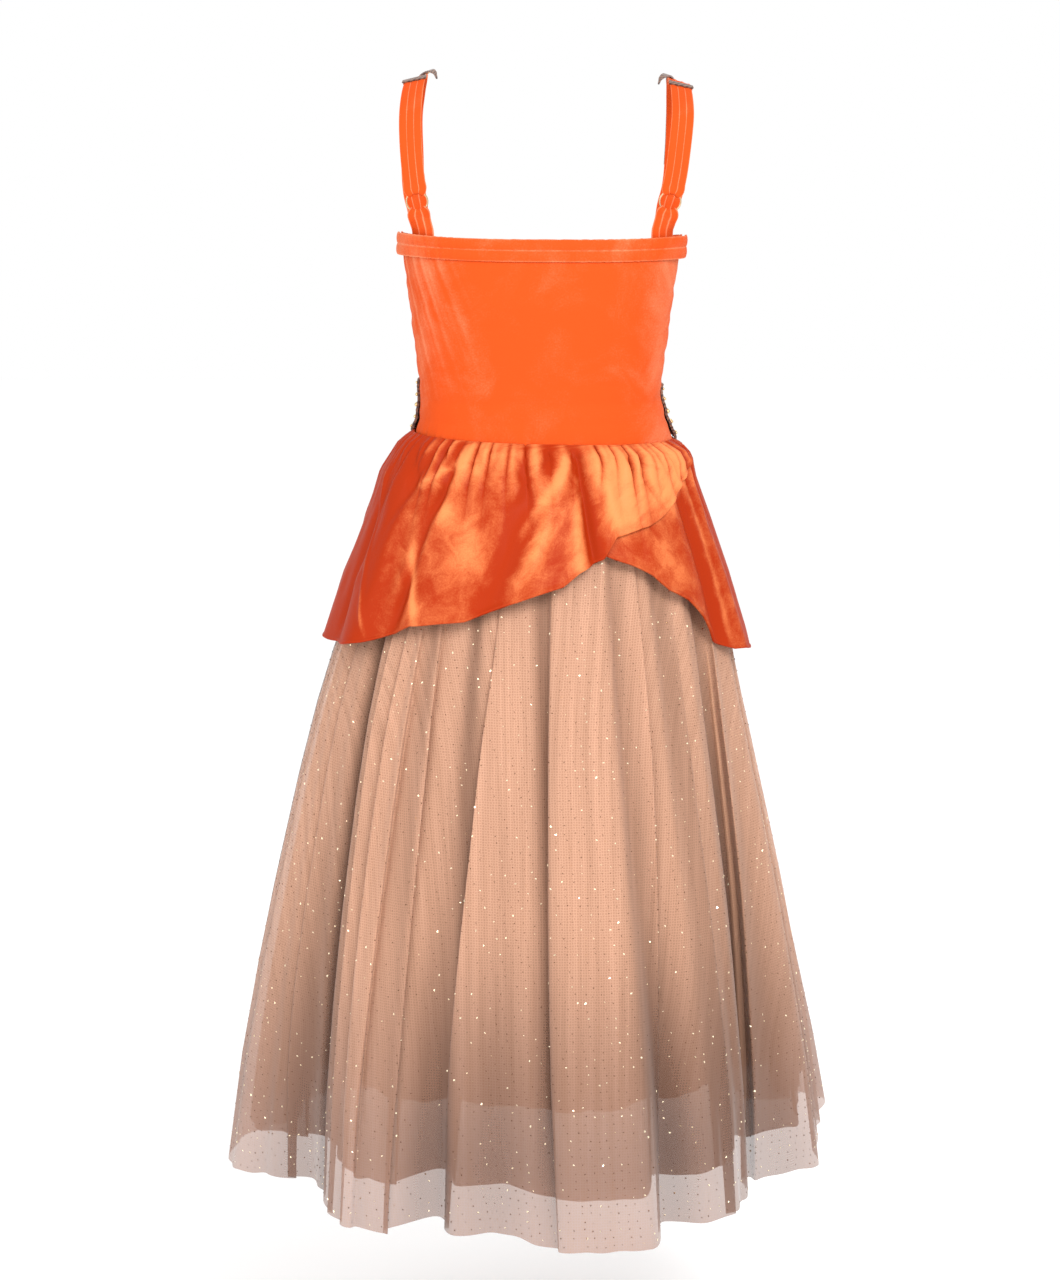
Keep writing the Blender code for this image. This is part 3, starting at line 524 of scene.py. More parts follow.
def peplum_grid(angles, hem, lift, rows=46):
    """Outline times one minus the flutes, moved out by the gathers and in by the creases."""
    angle = np.radians(angles)[None, :]
    long = waist_height(angle) + 0.0006 - np.interp(angles, hem[:, 0], hem[:, 1])[None, :]
    long = long + 0.0012 * unevenness(angle, 9, 21)
    share = np.concatenate([np.linspace(0, 1, rows - 5)[:-1] ** 0.9,
                            (0.984, 0.989, 0.993, 0.996, 0.9985, 1.0)])
    below = long * share[:, None]
    angle = np.broadcast_to(angle, below.shape)
    height = waist_height(angle) + 0.0006 - below
    flute = fold_value(PEPLUM_FOLDS, 1, angle) * np.clip(below / 0.17, 0, 1.1) ** 1.2
    fade = np.interp(below, GATHER_FADE[:, 0], GATHER_FADE[:, 1])
    wobble = 2.6 * unevenness(angle, 6, 22) + 1.1 * unevenness(angle, 15, 23)
    wobble = wobble + 30 * unevenness(angle, 5, 28) * below
    pinched = 2.6 * np.abs(np.cos(25 * angle + wobble / 2)) ** 0.75 - 1.75
    # The left of the back is nearly plain; the middle and the right are gathered tightest.
    tight = 0.85 - 0.55 * np.exp(-((np.degrees(angle) + 70) / 24) ** 2)
    gather = pinched * (tight + 0.50 * unevenness(angle, 11, 24))
    gather = gather + 0.45 * np.cos(91 * angle + 2 * wobble) * np.exp(-below / 0.014)
    lifted = lift * np.interp(np.degrees(angle), (-115, -75), (0, 1))
    lifted = lifted * np.interp(below, (0, 0.0078), (0.8, 1.0))
    crumple = CRUMPLE * unevenness(angle + 1.6 * below, 17, 26) * unevenness(below + 0.02 * angle, 60, 27)
    tucked = SEAM_TUCK * np.exp(-below / 0.0012)
    creased = placed(CREASES, angle, below)
    out = GATHER_DEEP * gather * fade + lifted - creased * soft_step(below, 0.0, 0.012)
    out = out + crumple * soft_step(below, 0.004, 0.03) - tucked
    middle = outline(PEPLUM_ROWS, angle, row_height(angle, height), 1 - flute, -out)
    middle[..., 2] = height
    # Painted highlights along the placed paths and on ridges, painted shade in the troughs, and more painted
    # shade round both sides.
    pale = 0.85 * placed(PALE_PATHS, angle, below) + 0.34 * gather * fade - 76 * creased
    far_left = soft_step(np.degrees(angle), -46, -60) * soft_step(np.degrees(angle), -130, -100)
    far_right = soft_step(np.degrees(angle), 56, 70) * soft_step(np.degrees(angle), 125, 100)
    pale = pale + 0.12 - 0.66 * far_left - 0.22 * far_right
    return middle, share, long, np.clip(pale, -0.5, 0.70)


def rolled_hem(share, long):
    """Wall thickness: 1.2 mm, and up to 2.6 mm over the last 3 mm, rounded like a roll."""
    from_edge = (1 - share[:, None]) * long
    roll = np.sqrt(np.clip(1 - ((from_edge - 0.0013) / 0.0014) ** 2, 0, 1))
    return VELVET_THICK + 0.0014 * roll


under_middle, under_share, under_long, under_pale = peplum_grid(np.linspace(-60, 180, 481), UNDER_HEM, 0.0)
over_middle, over_share, over_long, over_pale = peplum_grid(np.linspace(-180, 78.75, 561), OVER_HEM,
                                                            OVERLAP_LIFT)
under_middle = under_middle + np.array((SEAM_HALF_GAP, 0, 0))
over_middle = over_middle - np.array((SEAM_HALF_GAP, 0, 0))
peplum_under = shell("peplum_under_panel", under_middle, rolled_hem(under_share, under_long),
                     pressed_velvet, under_pale)
peplum_over = shell("peplum_over_panel", over_middle, rolled_hem(over_share, over_long),
                    pressed_velvet, over_pale)
declare_cloth(peplum_under, "velvet_peplum", ["peplum_under"])
declare_cloth(peplum_over, "velvet_peplum", ["peplum_over"])

# %% [markdown]
# ## Net and lining
# Skirt net is a knitted nylon mesh with holes of about 1.5 mm. Each layer here is a surface with one constant
# opacity, denser than one real layer, because real net crowds together as it falls. Over the lining its
# threads glow warm and over the bare floor they look grey; this light is painted, by a value that fades out
# towards the hem and mixes a lit and a shaded thread colour. A cell pattern on the UV map draws the mesh,
# a little coarser than the real holes so that it still shows, and long streaks stand for bunched threads.
# The lining is a plain, dull weave.

# %% Net and lining materials
def net_material(name, thread, thread_in_painted_shade, shade, painted_shade_share_tone, opacity, mesh_mm):
    made, tree = new_material(name)
    uv = add_node(tree, "ShaderNodeUVMap", uv_map="cloth").outputs["UV"]
    cells = add_node(tree, "ShaderNodeTexVoronoi", {
        "Vector": uv, "Scale": 1000 / mesh_mm, "Randomness": 0.35,
    }, feature="DISTANCE_TO_EDGE", voronoi_dimensions="2D").outputs["Distance"]
    fallen = add_node(tree, "ShaderNodeMapping", {"Vector": uv, "Scale": (160.0, 5.0, 1.0)}).outputs["Vector"]
    streaks = add_node(tree, "ShaderNodeTexNoise", {
        "Vector": fallen, "Scale": 1.0, "Detail": 4.0, "Roughness": 0.6,
    }).outputs["Fac"]
    woven = add_node(tree, "ShaderNodeMapRange", {
        "Value": cells, "From Min": 0.0, "From Max": 0.30, "To Min": 0.34, "To Max": -0.14,
    }).outputs["Result"]
    share = add_node(tree, "ShaderNodeMath", {
        0: streaks, 1: woven,
    }, operation="ADD", use_clamp=True).outputs[0]
    # Painted light: the lit thread colour over the lining, the shaded one towards the hem.
    backed = add_node(tree, "ShaderNodeAttribute", attribute_name="backed").outputs["Fac"]
    lit = add_node(tree, "ShaderNodeMix", {
        0: backed, 6: linear(thread_in_painted_shade), 7: linear(thread),
    }, data_type="RGBA").outputs[2]
    plain = add_node(tree, "ShaderNodeMix", {
        0: share, 6: linear(shade), 7: lit,
    }, data_type="RGBA").outputs[2]
    # Painted shade: mixed towards the fold-bottom colour by the value each point carries.
    painted_shade_share = add_node(tree, "ShaderNodeAttribute", attribute_name="painted_shade_share").outputs["Fac"]
    colour = add_node(tree, "ShaderNodeMix", {
        0: painted_shade_share, 6: plain, 7: linear(painted_shade_share_tone),
    }, data_type="RGBA").outputs[2]
    finish_material(tree, add_node(tree, "ShaderNodeBsdfPrincipled", {
        "Base Color": colour, "Roughness": 0.75, "Alpha": opacity,
        "Sheen Weight": 0.15, "Sheen Roughness": 0.5,
    }))
    return made


# What the eye sees at the bottom of a deep fold, where hardly any light reaches.
FOLD_BOTTOM = "#4C2A16"
# Fine nylon mesh with a faint gloss: the eye sees a veil that darkens where it folds over itself.
glitter_net = net_material("nylon_net_knitted_sheer", "#D6A386", "#97766A", "#966B50", FOLD_BOTTOM, 0.70, 2.2)
# A second, slightly denser and duller mesh under it.
plain_net = net_material("nylon_net_knitted_dull", "#CC9878", "#9A7660", "#946B52", FOLD_BOTTOM, 0.86, 2.2)


def lining_material():
    made, tree = new_material("polyester_lining_plain_weave")
    uv = add_node(tree, "ShaderNodeUVMap", uv_map="cloth").outputs["UV"]
    weave = add_node(tree, "ShaderNodeTexNoise", {"Vector": uv, "Scale": 700.0, "Detail": 2.0}).outputs["Fac"]
    colour = add_node(tree, "ShaderNodeMix", {
        0: weave, 6: linear("#D8A27C"), 7: linear("#E8B692"),
    }, data_type="RGBA").outputs[2]
    finish_material(tree, add_node(tree, "ShaderNodeBsdfPrincipled", {
        "Base Color": colour, "Roughness": 0.6, "Sheen Weight": 0.1,
    }))
    return made


lining_cloth = lining_material()
print("nets:", glitter_net.name, plain_net.name, lining_cloth.name)

# %% [markdown]
# ## The falling folds of the skirt
# Long folds grow from the waist to the hem. Where a fold leans over its neighbour the net doubles back on
# itself, and that edge is the clearest line in a net skirt. A plain wave in radius can't do that, so the
# angle is moved too: angle = s - k * w * u * exp(-u * u), with u = (s - centre) / w. Where k is more than 1
# the surface runs backwards for a moment and makes an S of three layers, and the radius is moved by
# u * exp(-u * u) at the same time, so the three layers stay apart.

# %% Skirt tables
# angle in degrees, how far the hem lies inside the outline as a share of its radius, hem height
SKIRT_FOLDS = np.array([
    (-84.0, 0.000, -0.9460), (-72.0, 0.100, -0.9400), (-61.0, 0.200, -0.9340), (-52.0, 0.130, -0.9380),
    (-37.0, 0.055, -0.9410), (-30.0, 0.050, -0.9400), (-22.5, 0.175, -0.9330), (-16.0, 0.090, -0.9380),
    (-9.00, 0.115, -0.9360), (7.000, -0.02, -0.9400), (19.00, 0.000, -0.9420), (27.00, 0.160, -0.9370),
    (35.00, 0.100, -0.9390), (43.00, 0.110, -0.9400), (49.00, 0.170, -0.9370), (60.00, 0.235, -0.9350),
    (78.00, 0.085, -0.9370), (94.00, 0.090, -0.9280), (108.0, -0.02, -0.9160), (124.0, 0.150, -0.9330),
    (140.0, 0.020, -0.9400), (156.0, 0.140, -0.9360), (173.0, 0.000, -0.9420), (190.0, 0.130, -0.9360),
    (206.0, 0.010, -0.9410), (221.0, 0.120, -0.9370), (235.0, 0.030, -0.9400), (250.0, 0.150, -0.9360),
    (263.0, 0.020, -0.9420),
])
# Folds that lean over: angle at the waist and at the hem, half width in degrees, strength, and the side
# that lies on top (1 the right, -1 the left)
LEANING_FOLDS = np.array([
    (-46.5, -45.5, 2.4, 2.3, 1.0), (-41.0, -40.0, 1.5, 2.1, 1.0), (-36.5, -35.5, 1.5, 2.0, -1.0),
    (-31.0, -28.5, 2.6, 2.3, -1.0), (-12.0, -18.0, 3.0, 2.5, 1.0), (2.00, 3.00, 1.6, 1.7, 1.0),
    (32.0, 24.0, 3.0, 2.5, -1.0), (47.0, 41.0, 3.2, 2.6, -1.0), (64.0, 62.0, 3.0, 2.2, 1.0),
    (-68.0, -66.0, 2.6, 2.2, 1.0), (102.0, 99.0, 3.0, 2.4, -1.0), (119.0, 117.0, 3.0, 2.5, 1.0),
    (133.0, 131.0, 2.0, 2.0, -1.0), (151.0, 149.0, 3.2, 2.5, 1.0), (166.0, 164.0, 2.2, 2.1, -1.0),
    (184.0, 183.0, 3.2, 2.5, 1.0), (199.0, 197.0, 2.0, 2.0, 1.0), (215.0, 214.0, 3.0, 2.5, -1.0),
    (229.0, 228.0, 2.2, 2.1, 1.0), (245.0, 244.0, 3.2, 2.5, -1.0), (257.0, 256.0, 2.0, 2.0, 1.0),
])
# Deep gaps between folds: angle at the waist and at the hem, half width in degrees, depth, and how much shade
# is painted in them
GAPS = np.array([
    (-56.0, -53.5, 2.7, 0.0130, 1.00), (-20.0, -17.5, 2.2, 0.0040, 0.62), (0.000, 1.500, 2.4, 0.0040, 0.58),
    (24.00, 20.50, 3.0, 0.0040, 0.34), (40.00, 41.00, 4.0, 0.0050, 0.42), (-67.0, -65.0, 3.0, 0.0050, 0.16),
    (-33.0, -31.5, 1.6, 0.0030, 0.36), (60.00, 58.00, 3.0, 0.0060, 0.40), (86.00, 84.00, 3.0, 0.0060, 0.40),
    (112.0, 110.0, 3.0, 0.0080, 0.60), (142.0, 140.0, 2.6, 0.0060, 0.50), (176.0, 175.0, 2.4, 0.0060, 0.45),
    (208.0, 206.0, 2.6, 0.0080, 0.60), (238.0, 237.0, 2.6, 0.0060, 0.50), (-86.0, -84.0, 3.0, 0.0050, 0.35),
])

# %% Skirt surface
# The skirt's length from the waist seam to the hem, by which the fallen share of a fold is measured.
FULL_FALL = 0.64
LAYER_APART = 0.0085


def skirt_points(s_degrees, drop, shorter, share, step_in, fold_share, lean, pleat, seed):
    """Point of a skirt layer at the place s round it and the share drop of its length down,
    and how much shade is painted on it."""
    s = np.radians(s_degrees)
    top = waist_height(s) - 0.0007
    foot = fold_value(SKIRT_FOLDS, 2, s) + shorter + 0.0016 * unevenness(s, 23, seed)
    height = top * (1 - drop) + foot * drop
    fallen = np.clip((waist_height(s) - height) / FULL_FALL, 0, 1.05)
    angle = s
    apart = np.zeros_like(fallen)
    for start, end, wide, strength, upper in LEANING_FOLDS:
        centre = start + (end - start) * fallen + 0.9 * np.sin(4.2 * fallen + start)
        width = wide * (0.75 + 0.45 * fallen)
        u = ((s_degrees - centre + 180) % 360 - 180) / width
        bell = u * np.exp(-u * u)
        grown = soft_step(fallen, 0.06, 0.42) * lean * (1.0 - 0.25 * soft_step(fallen, 0.75, 1.0))
        angle = angle - np.radians(width * strength * grown) * bell
        apart = apart + upper * bell * grown * LAYER_APART
    fold = fold_value(SKIRT_FOLDS, 1, angle) * fallen ** 1.25 * fold_share
    ripple = np.cos(26 * s + 1.5 * unevenness(s, 5, seed + 1)) * (0.75 + 0.45 * unevenness(s, 9, seed + 2))
    ripple = ripple * np.interp(fallen, (0, 0.06, 0.35, 1.0), (0.0, 1.0, 0.8, 0.35))
    fine = np.cos(64 * s + 2.2 * unevenness(s, 7, seed + 3)) * (0.5 + 0.5 * unevenness(s, 13, seed + 4))
    fine = fine * np.interp(fallen, (0, 0.05, 0.30, 1.0), (0.0, 0.5, 0.35, 0.10))
    # Painted shade in the gaps between folds, fading near the hem.
    gap, dark = np.zeros_like(fallen), np.zeros_like(fallen)
    for start, end, wide, deep, darker in GAPS:
        u = ((s_degrees - start - (end - start) * fallen + 180) % 360 - 180) / wide
        bell = np.exp(-u * u) * soft_step(fallen, 0.04, 0.24)
        gap = gap + deep * fold_share * bell
        dark = dark + darker * bell * (1 - 0.45 * soft_step(fallen, 0.80, 1.0))
    shape = np.interp(fallen, share[0], share[1]) * (1 - fold - pleat * (ripple + fine))
    points = outline(SKIRT_ROWS, angle, row_height(s, height), shape, step_in - apart + gap)
    points[..., 2] = height
    # Painted shade in the folds: the deeper a fold, the more it is mixed towards the fold-bottom colour.
    depth = 0.22 * (fold + pleat * (ripple + fine)) - apart
    painted_shade_share = 0.6 * soft_step(depth, 0.004, 0.036) * (0.35 + 0.65 * soft_step(fallen, 0.0, 0.3))
    painted_shade_share = painted_shade_share + dark
    # Painted shade: over the lining's hem, at the back's middle and right, the lower skirt is mixed towards
    # the fold-bottom colour.
    lower_skirt_shade = soft_step(s_degrees, -40, -5) * soft_step(s_degrees, 58, 30)
    painted_shade_share = 0.92 * painted_shade_share + 0.28 * lower_skirt_shade * soft_step(fallen, 0.58, 0.82) * soft_step(fallen, 1.0, 0.90)
    return points, np.clip(painted_shade_share, 0, 1)


NET_LAYER = dict(shorter=0.0, share=((0, 1), (1, 1)), step_in=0.0, fold_share=1.0,
                 lean=1.0, pleat=0.010, seed=40)
UNDER_LAYER = dict(shorter=0.036, share=((0, 0.1, 1), (1, 0.975, 0.950)), step_in=0.0016, fold_share=1.0,
                   lean=0.8, pleat=0.008, seed=50)
LINING_LAYER = dict(shorter=0.092, share=((0, 0.1, 0.4, 1), (1, 0.945, 0.86, 0.735)), step_in=0.0032,
                    fold_share=0.25, lean=0.0, pleat=0.006, seed=60)


def skirt_grid(half, columns, rows, layer):
    """Rows closer together by the waist, where the outline curves most, and the side seam's gap."""
    start, end, side = HALVES[half]
    s_degrees, drop = np.meshgrid(np.linspace(start, end, columns), np.linspace(0, 1, rows) ** 1.25)
    middle, painted_shade_share = skirt_points(s_degrees, drop, **layer)
    return middle + np.array((0.0, SEAM_HALF_GAP * side, 0.0)), painted_shade_share


def veil(name, middle, painted_shade_share, finish):
    """One open layer of net, with the painted shade of each point and its painted glow from the lining:
    the glow fades over the last 260 mm, which has less behind it."""
    backed = soft_step(middle[..., 2] - middle[-1:, :, 2], 0.000, 0.260)
    return put_mesh(name, middle.reshape(-1, 3), grid_faces(*middle.shape[:2]), finish,
                    cloth_uv(middle).reshape(-1, 2), {"painted_shade_share": painted_shade_share, "backed": backed})


skirt_grids = {}
for half in HALVES:
    skirt_grids["net_skirt_" + half] = skirt_grid(half, 521, 84, NET_LAYER)
    skirt_grids["under_net_" + half] = skirt_grid(half, 361, 56, UNDER_LAYER)
    skirt_grids["lining_" + half] = skirt_grid(half, 151, 40, LINING_LAYER)
veils = {}
for node, (middle, painted_shade_share) in skirt_grids.items():
    if node.startswith("lining"):
        veils[node] = shell(node + "_cloth", middle, 0.0008, lining_cloth)
    else:
        veils[node] = veil(node + "_veil", middle, painted_shade_share,
                           glitter_net if node.startswith("net") else plain_net)

# %% [markdown]
# ## Glitter
# Glue dots of glitter are printed on the outer net in staggered rows about 7 mm apart. Each is one small
# flake. Most look bronze because they mirror the dim side of the room, and a few catch the light; both looks
# are painted, as a shaded and a lit copy of one film. Real flakes are 0.5 mm; here they are up to 1 mm so
# that they show. A flake is a six-cornered face, placed by the same function as the net and tilted at random
# about the net's own normal.

# %% Glitter flakes
def metal_material(name, colour, roughness):
    made, tree = new_material(name)
    coordinates = add_node(tree, "ShaderNodeTexCoord").outputs["Object"]
    worn = add_node(tree, "ShaderNodeTexNoise", {
        "Vector": coordinates, "Scale": 300.0, "Detail": 3.0,
    }).outputs["Fac"]
    uneven = add_node(tree, "ShaderNodeMapRange", {
        "Value": worn, "To Min": roughness * 0.8, "To Max": roughness * 1.3,
    }).outputs["Result"]
    finish_material(tree, add_node(tree, "ShaderNodeBsdfPrincipled", {
        "Base Color": linear(colour), "Metallic": 1.0, "Roughness": uneven,
    }))
    return made


# Metallised film cut small: a pale gold flash, painted as the lit copy.
lit_flake = metal_material("polyester_glitter_pale_gold_painted_flash", "#FFF1CF", 0.22)
# The same film seen away from the light: a bronze dot, painted as the shaded copy.
shaded_flake = metal_material("polyester_glitter_in_painted_shade", "#4E2E1C", 0.50)


FLAKE_ROW_STEP = 0.0064
FLAKE_STEP = 0.0074
NET_LENGTH = 0.645
BRIGHT_RADIUS = (0.00050, 0.00105)
SHADED_FLAKE_RADIUS = (0.00050, 0.00072)


def glitter(half, seed):
    """Staggered dots: rows 6.4 mm apart down the net and dots 7.4 mm apart along each row."""
    chance = np.random.default_rng(seed)
    start, end, side = HALVES[half]
    rows = np.arange(0.010, 0.995, FLAKE_ROW_STEP / NET_LENGTH)
    places, drops = [], []
    for number, drop in enumerate(rows):
        radius = np.interp(drop, (0, 1), (0.10, 0.27))
        across = np.degrees(FLAKE_STEP / radius)
        row = np.arange(start + 0.6, end - 0.6, across) + (number % 2) * across / 2
        row = row[row < end - 0.4]
        places.append(row + chance.normal(0, 0.10, len(row)) * across)
        drops.append(drop + chance.normal(0, 0.0008, len(row)))
    place, drop = np.concatenate(places), np.clip(np.concatenate(drops), 0.004, 0.998)
    seam_shift = np.array((0.0, SEAM_HALF_GAP * side, 0.0))
    centre = skirt_points(place, drop, **NET_LAYER)[0] + seam_shift
    beside = skirt_points(place + 0.05, drop, **NET_LAYER)[0] + seam_shift
    below = skirt_points(place, drop + 0.001, **NET_LAYER)[0] + seam_shift
    along = beside - centre
    along /= np.linalg.norm(along, axis=-1, keepdims=True)
    normal = np.cross(below - centre, along)
    normal /= np.linalg.norm(normal, axis=-1, keepdims=True)
    normal = normal + 0.45 * chance.normal(0, 1, normal.shape)
    normal /= np.linalg.norm(normal, axis=-1, keepdims=True)
    first = np.cross(normal, np.array((0.0, 0.0, 1.0)))
    first /= np.linalg.norm(first, axis=-1, keepdims=True)
    second = np.cross(normal, first)
    # Painted flashes: chance flakes take the lit copy, more of them in loose clusters of a smooth wobble,
    # standing for folds turned to the light.
    clusters = unevenness(np.radians(place), 13, seed + 5) * unevenness(drop, 17, seed + 6)
    bright = chance.uniform(0, 1, len(place)) < np.clip(0.26 + 0.26 * clusters, 0.08, 0.7)
    bright_radius = chance.uniform(*BRIGHT_RADIUS, len(place))
    radius = np.where(bright, bright_radius, chance.uniform(*SHADED_FLAKE_RADIUS, len(place)))
    turns = np.linspace(0, 2 * np.pi, 6, endpoint=False)[None, :, None]
    ring = first[:, None] * np.cos(turns) + second[:, None] * np.sin(turns)
    corners = (centre[:, None] + ring * radius[:, None, None]).reshape(-1, 3)
    piece = put_mesh("net_glitter_" + half, corners, np.arange(len(corners)).reshape(-1, 6), shaded_flake)
    piece.data.materials.append(lit_flake)
    piece.data.polygons.foreach_set("material_index", bright.astype(np.int32))
    return declare(piece, "glitter_net")


sparkle = {half: glitter(half, 70 + number) for number, half in enumerate(HALVES)}
for node, (middle, _) in skirt_grids.items():
    slot_name = {"net": "glitter_net", "und": "net", "lin": "lining"}[node[:3]]
    declare_cloth(veils[node], slot_name, [node])
print("flakes:", {half: len(piece.data.polygons) for half, piece in sparkle.items()})

# %% [markdown]
# ## Straps and rings
# Each strap is a velvet tube pressed flat and stitched lengthwise into three channels. The long part comes
# down from the shoulder and turns round a metal ring. A short tab turns round the ring from below and is
# sewn inside the back. The strap's centre line is a table of points with a smooth curve through it, and a
# place on the strap is three distances: along it, across it and out from the body.

# %% Strap tables and curve
STRAP_THICK = 0.0012
STRAP_HALF = 0.0090
STRAP_LIFT = 0.00085
RING_MIDDLE = 0.0088
RING_WIRE = 0.0007
FOLD_RADIUS = 0.0017
FOLD_REACH = 0.007
SEAM_AT_Y = {"left": -0.0190, "right": -0.0220}
INNER = {"left": 1.0, "right": -1.0}
TAB_FOOT_X = {"left": -0.0987, "right": 0.1009}
# x, y, z of the centre line from the ring over the shoulder to the front, rise of the inner edge in degrees
STRAP_ROUTES = {
    "left": np.array([
        (-0.1035, -0.0610, -0.0996, 0.0), (-0.1062, -0.0655, -0.0780, 0.0), (-0.1082, -0.0655, -0.0530, 0.0),
        (-0.1088, -0.0570, -0.0300, 4.0), (-0.1075, -0.0360, -0.0105, 12.0), (-0.1055, -0.0130, 0.0010, 17.0),
        (-0.1055, 0.0090, 0.0010, 17.0), (-0.1090, 0.0330, -0.0110, 12.0), (-0.1120, 0.0500, -0.0300, 5.0),
        (-0.1118, 0.0600, -0.0600, 0.0), (-0.1108, 0.0640, -0.0900, 0.0), (-0.1055, 0.0600, -0.1180, 0.0),
        (-0.1000, 0.0570, -0.1500, 0.0),
    ]),
    "right": np.array([
        (0.1070, -0.0610, -0.0996, 0.0), (0.1115, -0.0655, -0.0780, 0.0), (0.1148, -0.0655, -0.0530, 0.0),
        (0.1172, -0.0570, -0.0300, 4.0), (0.1172, -0.0360, -0.0130, 12.0), (0.1162, -0.0130, -0.0025, 17.0),
        (0.1158, 0.0090, -0.0015, 17.0), (0.1170, 0.0330, -0.0130, 12.0), (0.1180, 0.0500, -0.0320, 5.0),
        (0.1175, 0.0600, -0.0610, 0.0), (0.1150, 0.0640, -0.0900, 0.0), (0.1070, 0.0600, -0.1180, 0.0),
        (0.1010, 0.0570, -0.1500, 0.0),
    ]),
}


class Strap:
    """One strap's smooth centre line, with points read along it, across it to +X, and out from the body."""

    def __init__(self, side):
        """The curve between four key rows is the usual cubic through the middle two (Catmull and Rom's)."""
        self.side, self.inner = side, INNER[side]
        keys = STRAP_ROUTES[side]
        padded = np.concatenate([2 * keys[:1] - keys[1:2], keys, 2 * keys[-1:] - keys[-2:-1]])
        place = np.linspace(0, len(keys) - 1, 400)
        first = np.minimum(place.astype(int), len(keys) - 2)
        t = (place - first)[:, None]
        before, start, end, after = (padded[first + k] for k in range(4))
        bend = 2 * before - 5 * start + 4 * end - after
        self.curve = 0.5 * (2 * start + (end - before) * t + bend * t ** 2
                            + (3 * start - before - 3 * end + after) * t ** 3)
        steps = np.linalg.norm(np.diff(self.curve[:, :3], axis=0), axis=1)
        self.length = np.concatenate([[0.0], np.cumsum(steps)])
        self.seam = float(np.interp(SEAM_AT_Y[side], self.curve[:200, 1], self.length[:200]))

    def read(self, along):
        return np.stack([np.interp(along, self.length, self.curve[:, k]) for k in range(3)], axis=-1)

    def at(self, along, across, out):
        """Centre point plus across times the width's direction plus out times the outward direction."""
        inside = np.clip(along, 0, self.length[-1])
        ahead = self.read(np.clip(inside + 0.0015, 0, self.length[-1]))
        heading = ahead - self.read(np.clip(inside - 0.0015, 0, None))
        heading /= np.linalg.norm(heading, axis=-1, keepdims=True)
        rise = np.radians(np.interp(inside, self.length, self.curve[:, 3])) * self.inner
        wide = np.stack([np.cos(rise), np.zeros_like(rise), np.sin(rise)], axis=-1)
        outward = np.cross(wide, heading)
        outward /= np.linalg.norm(outward, axis=-1, keepdims=True)
        wide = np.cross(heading, outward)
        extra = (along - inside)[..., None]
        return self.read(inside) + heading * extra + wide * across[..., None] + outward * out[..., None]


straps = {side: Strap(side) for side in STRAP_ROUTES}
print("strap lengths in mm:", {side: round(1000 * strap.length[-1]) for side, strap in straps.items()})

# %% Strap pieces
CHANNEL_HIGH = 0.0006


def channels(part):
    """Three rounded channels across the strap: the absolute sine of 1.5 turns from edge to edge."""
    return CHANNEL_HIGH * np.abs(np.sin(1.5 * np.pi * (part + 1))) ** 0.7


def ring_fold(tail):
    """Path of a strap's end round the wire, seen edge on: beyond the wire, and out from the body."""
    turns = np.linspace(0, np.pi, 17)
    bend = np.stack([-FOLD_RADIUS * np.sin(turns), FOLD_RADIUS * np.cos(turns)], axis=1)
    beyond = np.linspace(0.0012, FOLD_REACH, 6)
    out = FOLD_RADIUS + (STRAP_LIFT - FOLD_RADIUS) * soft_step(beyond, 0.0, FOLD_REACH)
    leave = np.concatenate([np.stack([beyond, -out], axis=1), [(tail, -STRAP_LIFT)]])
    return np.concatenate([leave[:6][::-1] * (1, -1), bend, leave])


def fold_places(path, columns):
    """Round the wire at the ring and straight further off: polar near the ring, blended to plain strips."""
    beyond, out = path[:, :1], path[:, 1:]
    part = np.linspace(-1, 1, columns)[None, :]
    turn = part * np.radians(50)
    straight = soft_step(beyond, 0.0, FOLD_REACH)
    along = (RING_MIDDLE + beyond) * (np.cos(turn) * (1 - straight) + straight)
    across = (RING_MIDDLE + beyond) * np.sin(turn) * (1 - straight) + STRAP_HALF * part * straight
    return along, across, np.broadcast_to(out, along.shape), np.broadcast_to(part, along.shape)


def panel_inside(half, x, height, inset):
    """Point inside a bodice half at this x:
    y = depth * (1 - (x / width) ** squareness) ** (1 / squareness)."""
    row = [np.interp(-height, -BODICE_ROWS[:, 0], BODICE_ROWS[:, k]) for k in range(1, 6)]
    left, right, back, front, square = row
    share = np.clip(np.abs(x) / (np.where(x > 0, right, left) - inset), 0, 0.98)
    y = ((back if half == "back" else front) - inset) * (1 - share ** square) ** (1 / square)
    return np.stack([x, y * HALVES[half][2], height], axis=-1)


def ribbed(middle, part):
    """The band with its channels raised on the outside."""
    return middle + normals_of(middle) * channels(part)[..., None]


def strap_cloth(name, node, middle, part):
    # Painted sheen: paler in the stitched grooves and on the channels' flanks, where the cloth turns edge on.
    pile_and_painted_light = 0.50 * (1 - channels(part) / CHANNEL_HIGH) ** 3 - 0.10
    piece = shell(name, ribbed(middle, part), STRAP_THICK, velvet, pile_and_painted_light)
    declare_cloth(piece, "velvet", [node])


